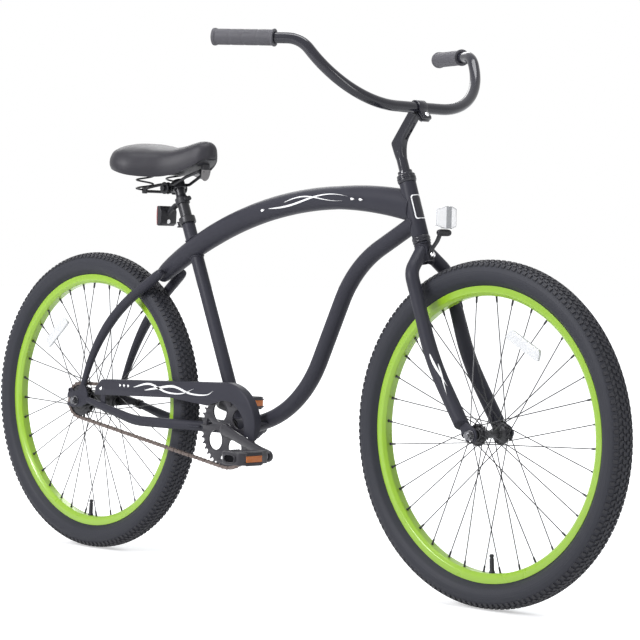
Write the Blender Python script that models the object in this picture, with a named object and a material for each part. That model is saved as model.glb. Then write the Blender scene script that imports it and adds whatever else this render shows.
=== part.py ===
# Cruiser bicycle with a coaster brake: steel frame, 26 inch wheels, one speed.
# Metres. +X is forward, +Y is the rider's left, +Z is up. The ground is z = 0 and
# x = 0 lies midway between the two axles. The chain is on the right, at -Y.

import bmesh
import bpy
from math import asin, atan2, cos, pi, radians, sin, sqrt, tan
from mathutils import Vector

# Clearances
GAP = 0.0003            # between two pieces that touch
RUNNING = 0.0006        # round a shaft that turns or slides

# Wheels and steering geometry
WHEEL_BASE = 1.190
RIM_RADIUS = 0.2855
RIM_HALF_WIDTH = 0.0145
RIM_DEPTH = 0.0195
BEAD_RADIUS = RIM_RADIUS - 0.0075
TYRE_HEIGHT = 0.0505        # from the rim's edge out to the tread
TYRE_RADIUS = RIM_RADIUS + TYRE_HEIGHT
TYRE_HALF_WIDTH = 0.0286
WHEEL_STEPS = 28
HUB_STEPS = 12
ROUND_STEPS = 12        # facets round tubes, cups and clamps that fit in each other
SPOKES = 36
SPOKE_RADIUS = 0.0012
SPOKE_CROSSINGS = 3
AXLE_RADIUS = 0.0048
VALVE_RADIUS = 0.0040
VALVE_TIP_RADIUS = RIM_RADIUS - 0.0525
HEAD_TILT = radians(19.7)
FORK_RAKE = 0.0515
TREAD_DEPTH = 0.0080    # from the tread down to the shoulder
TYRE_WAIST = 0.0230     # from the tread down to the widest place
TYRE_WALL = 0.0040
BEAD_WIDTH = 0.0027
FLANGE_WALL = 0.0020    # the rim's edge

# Hubs: flange distance, flange, barrel and end radius, end distance, bore radius
FRONT_HUB = (0.0335, 0.0218, 0.0078, 0.0130, 0.0415, AXLE_RADIUS + RUNNING)
REAR_HUB = (0.0300, 0.0310, 0.0205, 0.0165, 0.0384, AXLE_RADIUS + RUNNING)

# Drive train
CHAIN_PITCH = 0.0127
RING_TEETH = 40
COG_TEETH = 19
CHAIN_LINKS = 108
CHAIN_LINE = 0.0455
SPROCKET_HALF_THICKNESS = 0.0014
PLATE_HALF_HEIGHT = 0.0042
ROLLER_HALF_LENGTH = 0.0036
CHAIN_HALF_WIDTH = 0.0036
WINDOW_HALF_WIDTH = 0.00175
TOOTH_HEIGHT = 0.0036
TOOTH_TIP_HALF = 0.0011
RING_TOOTH_ROOT_HALF = 0.0020
COG_TOOTH_ROOT_HALF = 0.0016
BRACKET_DROP = 0.0348
CRANK_LENGTH = 0.170
CRANK_ANGLE = radians(-14.4)
SPINDLE_RADIUS = 0.0119
CRANK_ROOT_Y = 0.0545
CRANK_TIP_Y = 0.0832
CRANK_HALF_THICKNESS = 0.0068
PEDAL_NECK = 0.0330
PEDAL_TREAD = 0.0600
PEDAL_HALF_LENGTH = 0.0360
PEDAL_HALF_HEIGHT = 0.0130

# Heights up the steering axis, from the point beside the front axle
CROWN_BOTTOM = TYRE_RADIUS + 0.0300
CROWN_TOP = CROWN_BOTTOM + 0.0365
HEAD_TUBE_BOTTOM = CROWN_TOP + 0.0173
HEAD_TUBE_LENGTH = 0.1130
STEERER_TOP = HEAD_TUBE_BOTTOM + HEAD_TUBE_LENGTH + 0.0217
STEM_RISE = 0.1093
BAR_HEIGHT = STEERER_TOP + STEM_RISE

# Frame tubes
HEAD_TUBE_RADIUS = 0.0168
HEAD_TUBE_BORE = 0.0150
TOP_TUBE_RADIUS = 0.0235
FRAME_SCALE = WHEEL_BASE / 1.190    # a longer wheel base stretches the long tubes
TOP_TUBE_ARC = 1.017 * FRAME_SCALE
TOP_TUBE_AT = HEAD_TUBE_BOTTOM + 0.0636
TOP_TUBE_CROSSING = TYRE_RADIUS + 0.0809    # up the seat tube, clear of the rear tyre
TOP_TUBE_TAIL = 0.1241      # behind the seat tube
DOWN_TUBE_RADIUS = 0.0163
DOWN_TUBE_AT = HEAD_TUBE_BOTTOM + 0.0315
DOWN_TUBE_HEAD_RUN = 0.1924 * FRAME_SCALE
DOWN_TUBE_HEAD_SLOPE = radians(28.2)
DOWN_TUBE_CRANK_RUN = 0.1865 * FRAME_SCALE
DOWN_TUBE_CRANK_SLOPE = radians(17.0)
DOWN_TUBE_UPPER_BEND = 0.2476 * FRAME_SCALE
DOWN_TUBE_LOWER_BEND = 0.2587 * FRAME_SCALE
SEAT_TUBE_RADIUS = 0.0143
SEAT_TUBE_BORE = 0.0130
SEAT_TUBE_STAND = 0.0731    # above its crossing with the top tube's line
SEAT_TUBE_LENGTH = TOP_TUBE_CROSSING + SEAT_TUBE_STAND
SEAT_TUBE_TILT = radians(22.63)
SEAT_TUBE_SETBACK = 0.0063
SHELL_RADIUS = 0.0235
SHELL_BORE = 0.0196
SHELL_HALF_LENGTH = 0.0340
REAR_DROPOUT_Y = 0.0580
REAR_DROPOUT_THICKNESS = 0.0050
BRAKE_ARM_Y = 0.0440
BRAKE_ARM_LENGTH = 0.0860
BRAKE_CLIP_THICKNESS = 0.0022
STAY_HEIGHTS = ((0, 0.0072), (0.38, 0.0112), (1, 0.0110))
STAY_WIDTHS = ((0, 0.0056), (0.38, 0.0080), (1, 0.0076))
SEAT_STAY_RADIUS = 0.0110
SEAT_STAY_END_RADIUS = 0.0066
SEAT_STAY_HALF_SPAN = 0.0318
SEAT_STAY_BEND_AT = 0.4354  # share of the chord from the dropout
SEAT_STAY_BOW = 0.0476
SEAT_STAY_BEND = 1.237      # radius as a share of the chord
EYELET_RISE = 0.0006        # the rear eyelets' faces, proud of the dropouts
BRIDGE_CLEARANCE = 0.0294   # from the tyre to the kickstand plate
BRIDGE_LENGTH = 0.0380
BRIDGE_HOLE_RADIUS = 0.0045

# Chain guard, measured from the crank axis
GUARD_OUTER_Y = -0.0556
GUARD_SKIN = 0.0014
GUARD_DEPTH = 0.0200
GUARD_INNER_RADIUS = 0.0625
GUARD_CORNER_RADIUS = 0.0920
GUARD_TOP_REAR = (-0.4136, 0.0864)
GUARD_FRONT_TOP = (0.0960, 0.1030)
GUARD_FRONT_LOW = (0.0925, -0.0167)

# Fork, headset and bars
CROWN_RADIUS = 0.0155
STEERER_RADIUS = 0.0127
STEERER_BORE = 0.0114
LEG_RADIUS = 0.0135
LEG_END_RADIUS = 0.0112
LEG_HALF_SPAN = 0.0525
FRONT_DROPOUT_THICKNESS = 0.0045
QUILL_RADIUS = 0.0110
BAR_RADIUS = 0.0111
BAR_STEPS = 10
BAR_REACH = 0.0741
GRIP_LENGTH = 0.1265
GRIP_CAP = 0.0042
GRIP_RADIUS = 0.0158

# Seat
POST_RADIUS = 0.0127
POST_NECK_RADIUS = 0.0111
POST_INSERTION = 0.1450
RAIL_RADIUS = 0.0034
RAIL_HALF_SPACING = 0.0215
SPRING_COIL_RADIUS = 0.0185
SPRING_WIRE_RADIUS = 0.0020
SPRING_TURNS = 2.0
SPRING_BOLT_RADIUS = 0.0062
SPRING_STEPS = 9            # points to one turn
NECK_AT = SEAT_TUBE_LENGTH + 0.0460     # up the seat tube's axis from its foot
POST_TOP = NECK_AT + 0.0420
TILT_AT = NECK_AT + 0.0300
TILT_BEHIND = 0.0165
TILT_BOLT_RADIUS = 0.0040
REFLECTOR_BELOW_NECK = 0.0075

# Saddle, measured from its tilt bolt
PAN_LIFT = 0.0431
PAN_THICKNESS = 0.0035
NOSE_AHEAD = 0.0944
NOSE_LIFT = 0.0351
SPRING_BEHIND = 0.0546
SPRING_DROP = 0.0069
RAIL_TAIL_HALF_SPAN = 0.0640
SADDLE_STATIONS = (
    # ahead, half width, top and lower edge, from the tail to the nose
    (-0.1236, 0.0420, 0.0751, 0.0551),
    (-0.1166, 0.0780, 0.0891, 0.0491),
    (-0.0996, 0.1010, 0.0971, 0.0431),
    (-0.0696, 0.1160, 0.0991, 0.0351),
    (-0.0376, 0.1120, 0.0941, 0.0271),
    (-0.0056, 0.0900, 0.0891, 0.0231),
    (0.0264, 0.0650, 0.0881, 0.0236),
    (0.0564, 0.0490, 0.0921, 0.0301),
    (0.0824, 0.0375, 0.0981, 0.0411),
    (0.0984, 0.0310, 0.1006, 0.0491),
    (0.1104, 0.0262, 0.1001, 0.0571),
    (0.1194, 0.0185, 0.0961, 0.0641),
    (0.1239, 0.0095, 0.0891, 0.0701),
)

# Materials: colour, roughness, metallic
FINISHES = {
    "charcoal_paint": ((0.045, 0.046, 0.051), 0.55, 0.0),
    "gloss_black": ((0.012, 0.012, 0.014), 0.18, 0.0),
    "black_steel": ((0.020, 0.020, 0.022), 0.40, 0.6),
    "zinc_steel": ((0.62, 0.62, 0.63), 0.30, 1.0),
    "lime_rim": ((0.31, 0.58, 0.030), 0.30, 0.0),
    "tyre_rubber": ((0.022, 0.022, 0.023), 0.75, 0.0),
    "grip_rubber": ((0.060, 0.060, 0.066), 0.60, 0.0),
    "saddle_vinyl": ((0.030, 0.030, 0.033), 0.45, 0.0),
    "black_plastic": ((0.020, 0.020, 0.022), 0.50, 0.0),
    "bronze_chain": ((0.23, 0.16, 0.11), 0.38, 0.9),
    "clear_lens": ((0.80, 0.82, 0.82), 0.12, 0.0),
    "red_lens": ((0.45, 0.010, 0.012), 0.15, 0.0),
}

# Points that everything else hangs from
REAR_AXLE = Vector((-WHEEL_BASE / 2, 0, TYRE_RADIUS))
FRONT_AXLE = Vector((WHEEL_BASE / 2, 0, TYRE_RADIUS))
STEER_UP = Vector((-sin(HEAD_TILT), 0, cos(HEAD_TILT)))
STEER_FORWARD = Vector((cos(HEAD_TILT), 0, sin(HEAD_TILT)))
STEER_FOOT = FRONT_AXLE - STEER_FORWARD * FORK_RAKE
ACROSS = Vector((0, 1, 0))
RIGHT = -1
LEFT = 1
SIDES = (("left", LEFT), ("right", RIGHT))

RING_RADIUS = CHAIN_PITCH / (2 * sin(pi / RING_TEETH))
COG_RADIUS = CHAIN_PITCH / (2 * sin(pi / COG_TEETH))


def crank_to_axle():
    # The distance at which a whole number of links closes round the two sprockets.
    spread = (RING_TEETH - COG_TEETH) / pi
    lap = (RING_TEETH + COG_TEETH) / 2
    distance = 0.5
    for _ in range(30):
        angle = asin((RING_RADIUS - COG_RADIUS) / distance)
        distance = CHAIN_PITCH * (CHAIN_LINKS - lap - spread * angle) / (2 * cos(angle))
    return distance


CENTRE_DISTANCE = crank_to_axle()
CRANK = REAR_AXLE + Vector((sqrt(CENTRE_DISTANCE**2 - BRACKET_DROP**2), 0, -BRACKET_DROP))
SEAT_UP = Vector((-sin(SEAT_TUBE_TILT), 0, cos(SEAT_TUBE_TILT)))
SEAT_FORWARD = Vector((cos(SEAT_TUBE_TILT), 0, sin(SEAT_TUBE_TILT)))
SEAT_FOOT = CRANK - SEAT_FORWARD * SEAT_TUBE_SETBACK


def steer_point(forward, across, up):
    # A point of the fork or stem: forward of the steering axis, across, and along it.
    return STEER_FOOT + STEER_FORWARD * forward + ACROSS * across + STEER_UP * up


def seat_point(forward, across, up):
    # A point given from the foot of the seat tube in the same way.
    return SEAT_FOOT + SEAT_FORWARD * forward + ACROSS * across + SEAT_UP * up


# Scene, materials and pivots

def clear_scene():
    for item in list(bpy.data.objects):
        bpy.data.objects.remove(item, do_unlink=True)


def finish(name):
    material = bpy.data.materials.get(name)
    if material:
        return material
    colour, roughness, metallic = FINISHES[name]
    material = bpy.data.materials.new(name)
    material.use_nodes = True
    shader = material.node_tree.nodes["Principled BSDF"]
    shader.inputs["Base Color"].default_value = (*colour, 1.0)
    shader.inputs["Roughness"].default_value = roughness
    shader.inputs["Metallic"].default_value = metallic
    return material


def pivot(name, place, parent=None):
    empty = bpy.data.objects.new(name, None)
    empty.empty_display_size = 0.05
    bpy.context.collection.objects.link(empty)
    empty.parent = parent
    shift = parent.matrix_world.translation if parent else Vector()
    empty.location = place - shift
    bpy.context.view_layer.update()
    return empty


def body(name, bm, slot, parent, smooth=35):
    # A finished mesh in world coordinates, hung on its pivot.
    bmesh.ops.recalc_face_normals(bm, faces=bm.faces)
    origin = parent.matrix_world.translation if parent else Vector()
    bmesh.ops.translate(bm, verts=bm.verts, vec=-origin)
    mesh = bpy.data.meshes.new(name)
    bm.to_mesh(mesh)
    bm.free()
    mesh.shade_smooth()
    mesh.set_sharp_from_angle(angle=radians(smooth))
    mesh.materials.append(finish(slot))
    item = bpy.data.objects.new(name, mesh)
    item.parent = parent
    bpy.context.collection.objects.link(item)
    return item


def tool(name, bm):
    # A cutter or an added lump: it shapes another piece and is not one itself.
    item = body(name, bm, "black_steel", None)
    item.hide_render = True
    item.display_type = "WIRE"
    return item


def combine(target, other, operation):
    step = target.modifiers.new(operation.lower() + "_" + other.name, "BOOLEAN")
    step.object = other
    step.operation = operation
    step.solver = "EXACT"


def cut(target, *cutters):
    for cutter in cutters:
        combine(target, cutter, "DIFFERENCE")


def add(target, *lumps):
    for lump in lumps:
        combine(target, lump, "UNION")


# Shapes

def rounded_path(corners, radii, steps=6):
    # A run through the corners with an arc of the given radius at each inner one.
    corners = [Vector(corner) for corner in corners]
    points = [corners[0]]
    for index in range(1, len(corners) - 1):
        corner = corners[index]
        before = (corners[index - 1] - corner).normalized()
        after = (corners[index + 1] - corner).normalized()
        opening = before.angle(after)
        reach = radii[index - 1] / tan(opening / 2)
        centre = corner + (before + after).normalized() * radii[index - 1] / sin(opening / 2)
        start = corner + before * reach - centre
        end = corner + after * reach - centre
        sweep = pi - opening
        for step in range(steps + 1):
            share = step / steps
            mix = start * sin((1 - share) * sweep) + end * sin(share * sweep)
            points.append(centre + mix / sin(sweep))
    points.append(corners[-1])
    return points


def shares(points):
    # How far along the run each point lies, from 0 to 1.
    lengths = [0.0]
    for first, second in zip(points, points[1:]):
        lengths.append(lengths[-1] + (second - first).length)
    return [length / lengths[-1] for length in lengths]


def blend(table, share):
    # A value read between the (share, value) pairs of a table.
    for (low, first), (high, second) in zip(table, table[1:]):
        if share <= high:
            part = (share - low) / (high - low) if high > low else 0
            return first + (second - first) * max(0, part)
    return table[-1][1]


def wider(table, extra=GAP):
    return tuple((share, value + extra) for share, value in table)


def rings_along(points, widths, depths, sides, wide, looped=False):
    # Elliptical rings square to the run. The wide direction stays near the one given.
    rings = []
    last = len(points) - 1
    for index, point in enumerate(points):
        if looped:
            ahead = points[(index + 1) % (last + 1)] - points[index - 1]
        else:
            ahead = points[min(index + 1, last)] - points[max(index - 1, 0)]
        ahead.normalize()
        side = (wide - ahead * wide.dot(ahead)).normalized()
        up = ahead.cross(side)
        ring = []
        for turn in range(sides):
            angle = 2 * pi * (turn + 0.5) / sides
            ring.append(point + side * cos(angle) * widths[index] + up * sin(angle) * depths[index])
        rings.append(ring)
    return rings


def skin(bm, rings, capped=True, looped=False):
    # Faces between successive rings, and over both ends.
    loops = [[bm.verts.new(point) for point in ring] for ring in rings]
    sides = len(loops[0])
    pairs = list(zip(loops, loops[1:]))
    if looped:
        pairs.append((loops[-1], loops[0]))
    for first, second in pairs:
        for index in range(sides):
            after = (index + 1) % sides
            bm.faces.new((first[index], first[after], second[after], second[index]))
    if capped and not looped:
        bm.faces.new(loops[0])
        bm.faces.new(loops[-1])
    return bm


def tube(points, radius, sides=12, wide=ACROSS, depth=None):
    # A solid tube. Radius and depth are numbers or tables of (share, value).
    marks = shares(points)
    depth = radius if depth is None else depth
    widths = [blend(radius, mark) if isinstance(radius, tuple) else radius for mark in marks]
    depths = [blend(depth, mark) if isinstance(depth, tuple) else depth for mark in marks]
    return skin(bmesh.new(), rings_along(points, widths, depths, sides, wide))


def basis(axis):
    axis = axis.normalized()
    side = Vector((0, 0, 1)) if abs(axis.y) > 0.9 else ACROSS
    side = (side - axis * side.dot(axis)).normalized()
    return axis, side, axis.cross(side)


def turned(profile, centre, axis, steps=20, phase=0.5, bm=None):
    # A closed outline of (radius, distance along) pairs spun round the axis. Where both
    # ends have no radius the outline is a solid's; otherwise it is a ring's section.
    bm = bm or bmesh.new()
    axis, side, up = basis(axis)
    solid = profile[0][0] == 0 and profile[-1][0] == 0
    outline = profile[1:-1] if solid else profile
    rings = []
    for turn in range(steps):
        angle = 2 * pi * (turn + phase) / steps
        out = side * cos(angle) + up * sin(angle)
        rings.append([bm.verts.new(centre + out * r + axis * along) for r, along in outline])
    count = len(outline)
    spans = range(count - 1) if solid else range(count)
    for turn in range(steps):
        near = rings[turn]
        far = rings[(turn + 1) % steps]
        for index in spans:
            after = (index + 1) % count
            bm.faces.new((near[index], near[after], far[after], far[index]))
    if solid:
        bm.faces.new([ring[0] for ring in rings])
        bm.faces.new([ring[-1] for ring in rings])
    return bm


def rod(radius, start, end, steps=12, bm=None, phase=0.5):
    axis = end - start
    profile = [(0, 0), (radius, 0), (radius, axis.length), (0, axis.length)]
    return turned(profile, start, axis, steps, phase, bm)


def sleeve(outer, inner, start, end, steps=20):
    axis = end - start
    profile = [(inner, 0), (outer, 0), (outer, axis.length), (inner, axis.length)]
    return turned(profile, start, axis, steps)


def plate(outline, y_near, y_far, bm=None):
    # An outline of (x, z) points given a thickness across the bicycle.
    rings = [[Vector((x, y, z)) for x, z in outline] for y in (y_near, y_far)]
    return skin(bm or bmesh.new(), rings)


def block(low, high, bm=None):
    bm = bm or bmesh.new()
    corners = bmesh.ops.create_cube(bm, size=1.0)["verts"]
    low, high = Vector(low), Vector(high)
    for corner in corners:
        corner.co = Vector(l + (c + 0.5) * (h - l) for c, l, h in zip(corner.co, low, high))
    return bm


def arc(centre, radius, start, end, steps):
    # Points of (x, z) on an arc, angles in radians from +X towards +Z.
    x, z = centre
    angles = [start + (end - start) * step / steps for step in range(steps + 1)]
    return [(x + radius * cos(angle), z + radius * sin(angle)) for angle in angles]


# Wheels

def spun_about_axle(profile, axle, steps=WHEEL_STEPS):
    # Radii are to the middle of each flat, so that a flat touches the ground.
    stretch = 1 / cos(pi / steps)
    scaled = [(radius * stretch, across) for radius, across in profile]
    return turned(scaled, axle, ACROSS, steps)


def mirrored(half):
    # The closed section whose right half runs from the inner edge outward.
    return [(r, -y) for r, y in half] + [(r, y) for r, y in reversed(half)]


def wheel_parts(end, axle, hub, parent, valve_angle):
    flange = RIM_HALF_WIDTH - FLANGE_WALL
    bed = BEAD_RADIUS - GAP
    half = [(RIM_RADIUS - RIM_DEPTH, 0.0080), (RIM_RADIUS - 0.0130, RIM_HALF_WIDTH),
            (RIM_RADIUS, RIM_HALF_WIDTH), (RIM_RADIUS, flange), (bed, flange)]
    rim = body(f"{end}_rim", spun_about_axle(mirrored(half), axle), "lime_rim", parent)

    # The bead lies inside the flange, and the casing swells over it.
    bead = flange - GAP
    toe = bead - BEAD_WIDTH
    lip = RIM_RADIUS + 2 * GAP
    waist = TYRE_RADIUS - TYRE_WAIST
    shoulder = TYRE_RADIUS - TREAD_DEPTH
    outside = [(BEAD_RADIUS, bead), (lip, bead), (lip + 0.0110, TYRE_HALF_WIDTH - 0.0030),
               (waist, TYRE_HALF_WIDTH), (shoulder, TYRE_HALF_WIDTH - 0.0085), (TYRE_RADIUS, 0.0080)]
    inside = [(shoulder, 0.0120), (waist, TYRE_HALF_WIDTH - TYRE_WALL), (lip, toe)]
    section = [(r, -y) for r, y in outside] + [(r, y) for r, y in reversed(outside)]
    section += [(r, y) for r, y in reversed(inside)] + [(r, -y) for r, y in inside]
    body(f"{end}_tyre", spun_about_axle(section, axle), "tyre_rubber", parent)

    out = Vector((cos(valve_angle), 0, sin(valve_angle)))
    half = [(bed + GAP, toe / 2), (waist, TYRE_HALF_WIDTH - TYRE_WALL - 2 * GAP),
            (shoulder - 2 * GAP, 0.0114)]
    inner_tube = body(f"{end}_inner_tube", spun_about_axle(mirrored(half), axle), "tyre_rubber", parent)
    valve = rod(VALVE_RADIUS, axle + out * VALVE_TIP_RADIUS, axle + out * (bed + 0.006), 8)
    add(inner_tube, tool(f"{end}_valve", valve))
    hole = rod(VALVE_RADIUS + GAP, axle + out * (VALVE_TIP_RADIUS - 0.01), axle + out * RIM_RADIUS, 8)
    cut(rim, tool(f"{end}_valve_hole", hole))
    hub_with_spokes(end, axle, hub, parent, valve_angle)


def hub_with_spokes(end, axle, hub, parent, valve_angle):
    # The shell, its two flanges and the tangential spokes, crossed three times.
    flange_y, flange_r, barrel_r, end_r, end_y, bore = hub
    half_thick = 0.0018
    half = [(bore, end_y), (end_r, end_y), (end_r, flange_y + 0.004),
            (flange_r - 0.007, flange_y + half_thick), (flange_r, flange_y + half_thick),
            (flange_r, flange_y - half_thick), (barrel_r, flange_y - 0.007)]
    section = half + [(r, -y) for r, y in reversed(half)]
    shell = body(f"{end}_hub_and_spokes", turned(section, axle, ACROSS, HUB_STEPS), "black_steel",
                 parent)
    holes_r = flange_r - 0.0030
    rim_r = (RIM_RADIUS - RIM_DEPTH) - GAP
    per_side = SPOKES // 2
    lead = 2 * pi * SPOKE_CROSSINGS / per_side
    spokes = bmesh.new()
    for index in range(SPOKES):
        side = LEFT if index % 2 else RIGHT
        pulling = 1 if (index // 2) % 2 else -1
        rim_angle = valve_angle + 2 * pi * (index + 0.5) / SPOKES
        hub_angle = rim_angle + pulling * lead
        foot = Vector((cos(hub_angle), 0, sin(hub_angle))) * holes_r
        tip = Vector((cos(rim_angle), 0, sin(rim_angle))) * rim_r
        foot.y = side * (flange_y + pulling * 0.0026)
        tip.y = side * 0.0020
        rod(SPOKE_RADIUS, axle + foot, axle + tip, 3, spokes)
    add(shell, tool(f"{end}_spokes", spokes))


def axle_and_nuts(end, axle, half_length, dropout_inner, dropout_outer, cones, parent):
    # A threaded rod with a cone at each bearing, and a washer nut on each end.
    thread, cone, nut, washer = AXLE_RADIUS, 0.0082, 0.0090, 0.0105
    stop = dropout_inner - GAP
    right, left = cones
    profile = [(0, -half_length), (thread, -half_length), (thread, -stop), (cone, -stop),
               (cone, -right), (thread, -right), (thread, left), (cone, left),
               (cone, stop), (thread, stop), (thread, half_length), (0, half_length)]
    body(f"{end}_axle", turned(profile, axle, ACROSS, 8), "zinc_steel", parent)
    for name, side in SIDES:
        seat = side * (dropout_outer + GAP)
        face = seat + side * 0.0020
        end_face = seat + side * 0.0095
        outline = [(0, seat), (washer, seat), (washer, face), (nut, face), (nut, end_face), (0, end_face)]
        bm = turned(outline, axle, ACROSS, 6, 0)
        piece = body(f"{end}_axle_nut_{name}", bm, "zinc_steel", parent)
        bore = rod(thread + 2 * GAP, axle + ACROSS * seat * 0.8, axle + ACROSS * seat * 1.4, 8)
        cut(piece, tool(f"{end}_nut_bore_{name}", bore))


# Sprockets and chain

def toothed_outline(centre, pitch_radius, teeth, first_tooth, root_half):
    # Four points to a tooth: straight flanks from a round root to a narrow tip.
    root = pitch_radius - PLATE_HALF_HEIGHT - GAP
    tip = pitch_radius + TOOTH_HEIGHT
    outline = []
    for index in range(teeth):
        middle = first_tooth + 2 * pi * index / teeth
        for radius, half in ((root, -root_half), (tip, -TOOTH_TIP_HALF),
                             (tip, TOOTH_TIP_HALF), (root, root_half)):
            angle = middle + half / radius
            outline.append((centre.x + radius * cos(angle), centre.z + radius * sin(angle)))
    return outline


def chain_layout():
    # Where the run leaves each sprocket, and how many links lie on each stretch.
    angle = asin((RING_RADIUS - COG_RADIUS) / CENTRE_DISTANCE)
    lift = atan2(CRANK.z - REAR_AXLE.z, CRANK.x - REAR_AXLE.x)
    straight = CENTRE_DISTANCE * cos(angle) / CHAIN_PITCH
    on_ring = RING_TEETH * (pi + 2 * angle) / (2 * pi)
    on_cog = COG_TEETH * (pi - 2 * angle) / (2 * pi)
    return angle, lift, straight, on_ring, on_cog


def chain_point(place):
    # The point and the forward direction at a number of links from the top of the ring.
    angle, lift, straight, on_ring, on_cog = chain_layout()
    ring_top = lift + pi / 2 + angle
    if place < on_ring:
        turn = ring_top - 2 * pi * place / RING_TEETH
        out = Vector((cos(turn), 0, sin(turn)))
        return CRANK + out * RING_RADIUS, Vector((sin(turn), 0, -cos(turn)))
    place -= on_ring
    ring_bottom = lift - pi / 2 - angle
    low = CRANK + Vector((cos(ring_bottom), 0, sin(ring_bottom))) * RING_RADIUS
    cog_low = REAR_AXLE + Vector((cos(ring_bottom), 0, sin(ring_bottom))) * COG_RADIUS
    if place < straight:
        return low.lerp(cog_low, place / straight), (cog_low - low).normalized()
    place -= straight
    if place < on_cog:
        turn = ring_bottom - 2 * pi * place / COG_TEETH
        out = Vector((cos(turn), 0, sin(turn)))
        return REAR_AXLE + out * COG_RADIUS, Vector((sin(turn), 0, -cos(turn)))
    place -= on_cog
    high = CRANK + Vector((cos(ring_top), 0, sin(ring_top))) * RING_RADIUS
    cog_high = REAR_AXLE + Vector((cos(ring_top), 0, sin(ring_top))) * COG_RADIUS
    return cog_high.lerp(high, place / straight), (high - cog_high).normalized()


def chain_mesh():
    # A ladder of side plates and roller blocks, open where the teeth come through.
    bm = bmesh.new()

    def station(place, shift, levels):
        point, ahead = chain_point(place)
        out = ahead.cross(ACROSS)
        base = point + ahead * shift - ACROSS * CHAIN_LINE
        return [[bm.verts.new(base + ACROSS * y + out * height) for y in levels]
                for height in (PLATE_HALF_HEIGHT, -PLATE_HALF_HEIGHT)]

    window = (WINDOW_HALF_WIDTH, -WINDOW_HALF_WIDTH)
    outside = (CHAIN_HALF_WIDTH, -CHAIN_HALF_WIDTH)
    pins = [station(k, 0, outside) for k in range(CHAIN_LINKS)]
    starts = [station(k, -ROLLER_HALF_LENGTH, window) for k in range(CHAIN_LINKS)]
    ends = [station(k, ROLLER_HALF_LENGTH, window) for k in range(CHAIN_LINKS)]
    for k in range(CHAIN_LINKS):
        after = (k + 1) % CHAIN_LINKS
        for level in (0, 1):
            pin, start, end = pins[k][level], starts[k][level], ends[k][level]
            bm.faces.new((pin[0], start[0], start[1], pin[1], end[1], end[0]))
            for side in (0, 1):
                bm.faces.new((pin[side], end[side], starts[after][level][side],
                              pins[after][level][side]))
        for top, low in (starts[k], ends[k]):
            bm.faces.new((top[0], top[1], low[1], low[0]))
        for first, second in ((pins[k], pins[after]), (ends[k], starts[after])):
            for side in (0, 1):
                bm.faces.new((first[0][side], second[0][side], second[1][side], first[1][side]))
    return bm


# Frame

def frame_tubes(frame):
    head_bottom = steer_point(0, 0, HEAD_TUBE_BOTTOM)
    head_top = steer_point(0, 0, HEAD_TUBE_BOTTOM + HEAD_TUBE_LENGTH)
    head = sleeve(HEAD_TUBE_RADIUS, HEAD_TUBE_BORE, head_bottom, head_top, ROUND_STEPS)
    body("head_tube", head, "charcoal_paint", frame)
    mitre_head = tool("mitre_head", rod(HEAD_TUBE_RADIUS + GAP, head_bottom - STEER_UP * 0.03,
                                        head_top + STEER_UP * 0.03,
                                        ROUND_STEPS))

    shell_end = ACROSS * SHELL_HALF_LENGTH
    shell = sleeve(SHELL_RADIUS, SHELL_BORE, CRANK - shell_end, CRANK + shell_end,
                   ROUND_STEPS)
    body("bottom_bracket_shell", shell, "charcoal_paint", frame)
    mitre_shell = tool("mitre_shell", rod(SHELL_RADIUS + GAP, CRANK - shell_end * 1.5,
                                          CRANK + shell_end * 1.5, ROUND_STEPS))

    down_run = down_tube_path()
    down = body("down_tube", tube(down_run, DOWN_TUBE_RADIUS, 10), "charcoal_paint", frame)
    cut(down, mitre_head, mitre_shell)
    add(down, tool("guard_front_lug", guard_front_lug()))
    mitre_down = tool("mitre_down", tube(down_run, DOWN_TUBE_RADIUS + GAP, 10))

    seat_low = SEAT_FOOT
    seat_high = seat_point(0, 0, SEAT_TUBE_LENGTH)
    seat = body("seat_tube", sleeve(SEAT_TUBE_RADIUS, SEAT_TUBE_BORE, seat_low, seat_high, ROUND_STEPS),
                "charcoal_paint", frame)
    cut(seat, mitre_shell)
    through = rod(SEAT_TUBE_RADIUS + GAP, seat_low, seat_high + SEAT_UP * 0.05, ROUND_STEPS)

    top_run, head_end = top_tube_path()
    depth = ((0, 0.0150), (0.03, 0.0190), (0.10, 0.0218), (0.25, TOP_TUBE_RADIUS),
             (0.74, TOP_TUBE_RADIUS + 0.0003), (0.87, 0.0275), (1, 0.0310))
    width = ((0, 0.0140), (0.03, 0.0185), (0.10, 0.0212), (0.25, TOP_TUBE_RADIUS),
             (0.74, TOP_TUBE_RADIUS), (1, 0.0175))
    top = body("top_tube", tube(top_run, width, 12, ACROSS, depth), "charcoal_paint", frame)
    cut(top, mitre_down, mitre_head, tool("seat_tube_passage", through))
    mitre_top = tool("mitre_top", tube(top_run, wider(width), 12, ACROSS, wider(depth)))
    return mitre_shell, mitre_top


def down_tube_path():
    head_end = steer_point(0, 0, DOWN_TUBE_AT)
    slope = DOWN_TUBE_HEAD_SLOPE
    upper = head_end - Vector((cos(slope), 0, sin(slope))) * DOWN_TUBE_HEAD_RUN
    slope = DOWN_TUBE_CRANK_SLOPE
    lower = CRANK + Vector((cos(slope), 0, sin(slope))) * DOWN_TUBE_CRANK_RUN
    bends = (DOWN_TUBE_LOWER_BEND, DOWN_TUBE_UPPER_BEND)
    return rounded_path([CRANK, lower, upper, head_end], bends, 5)


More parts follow.
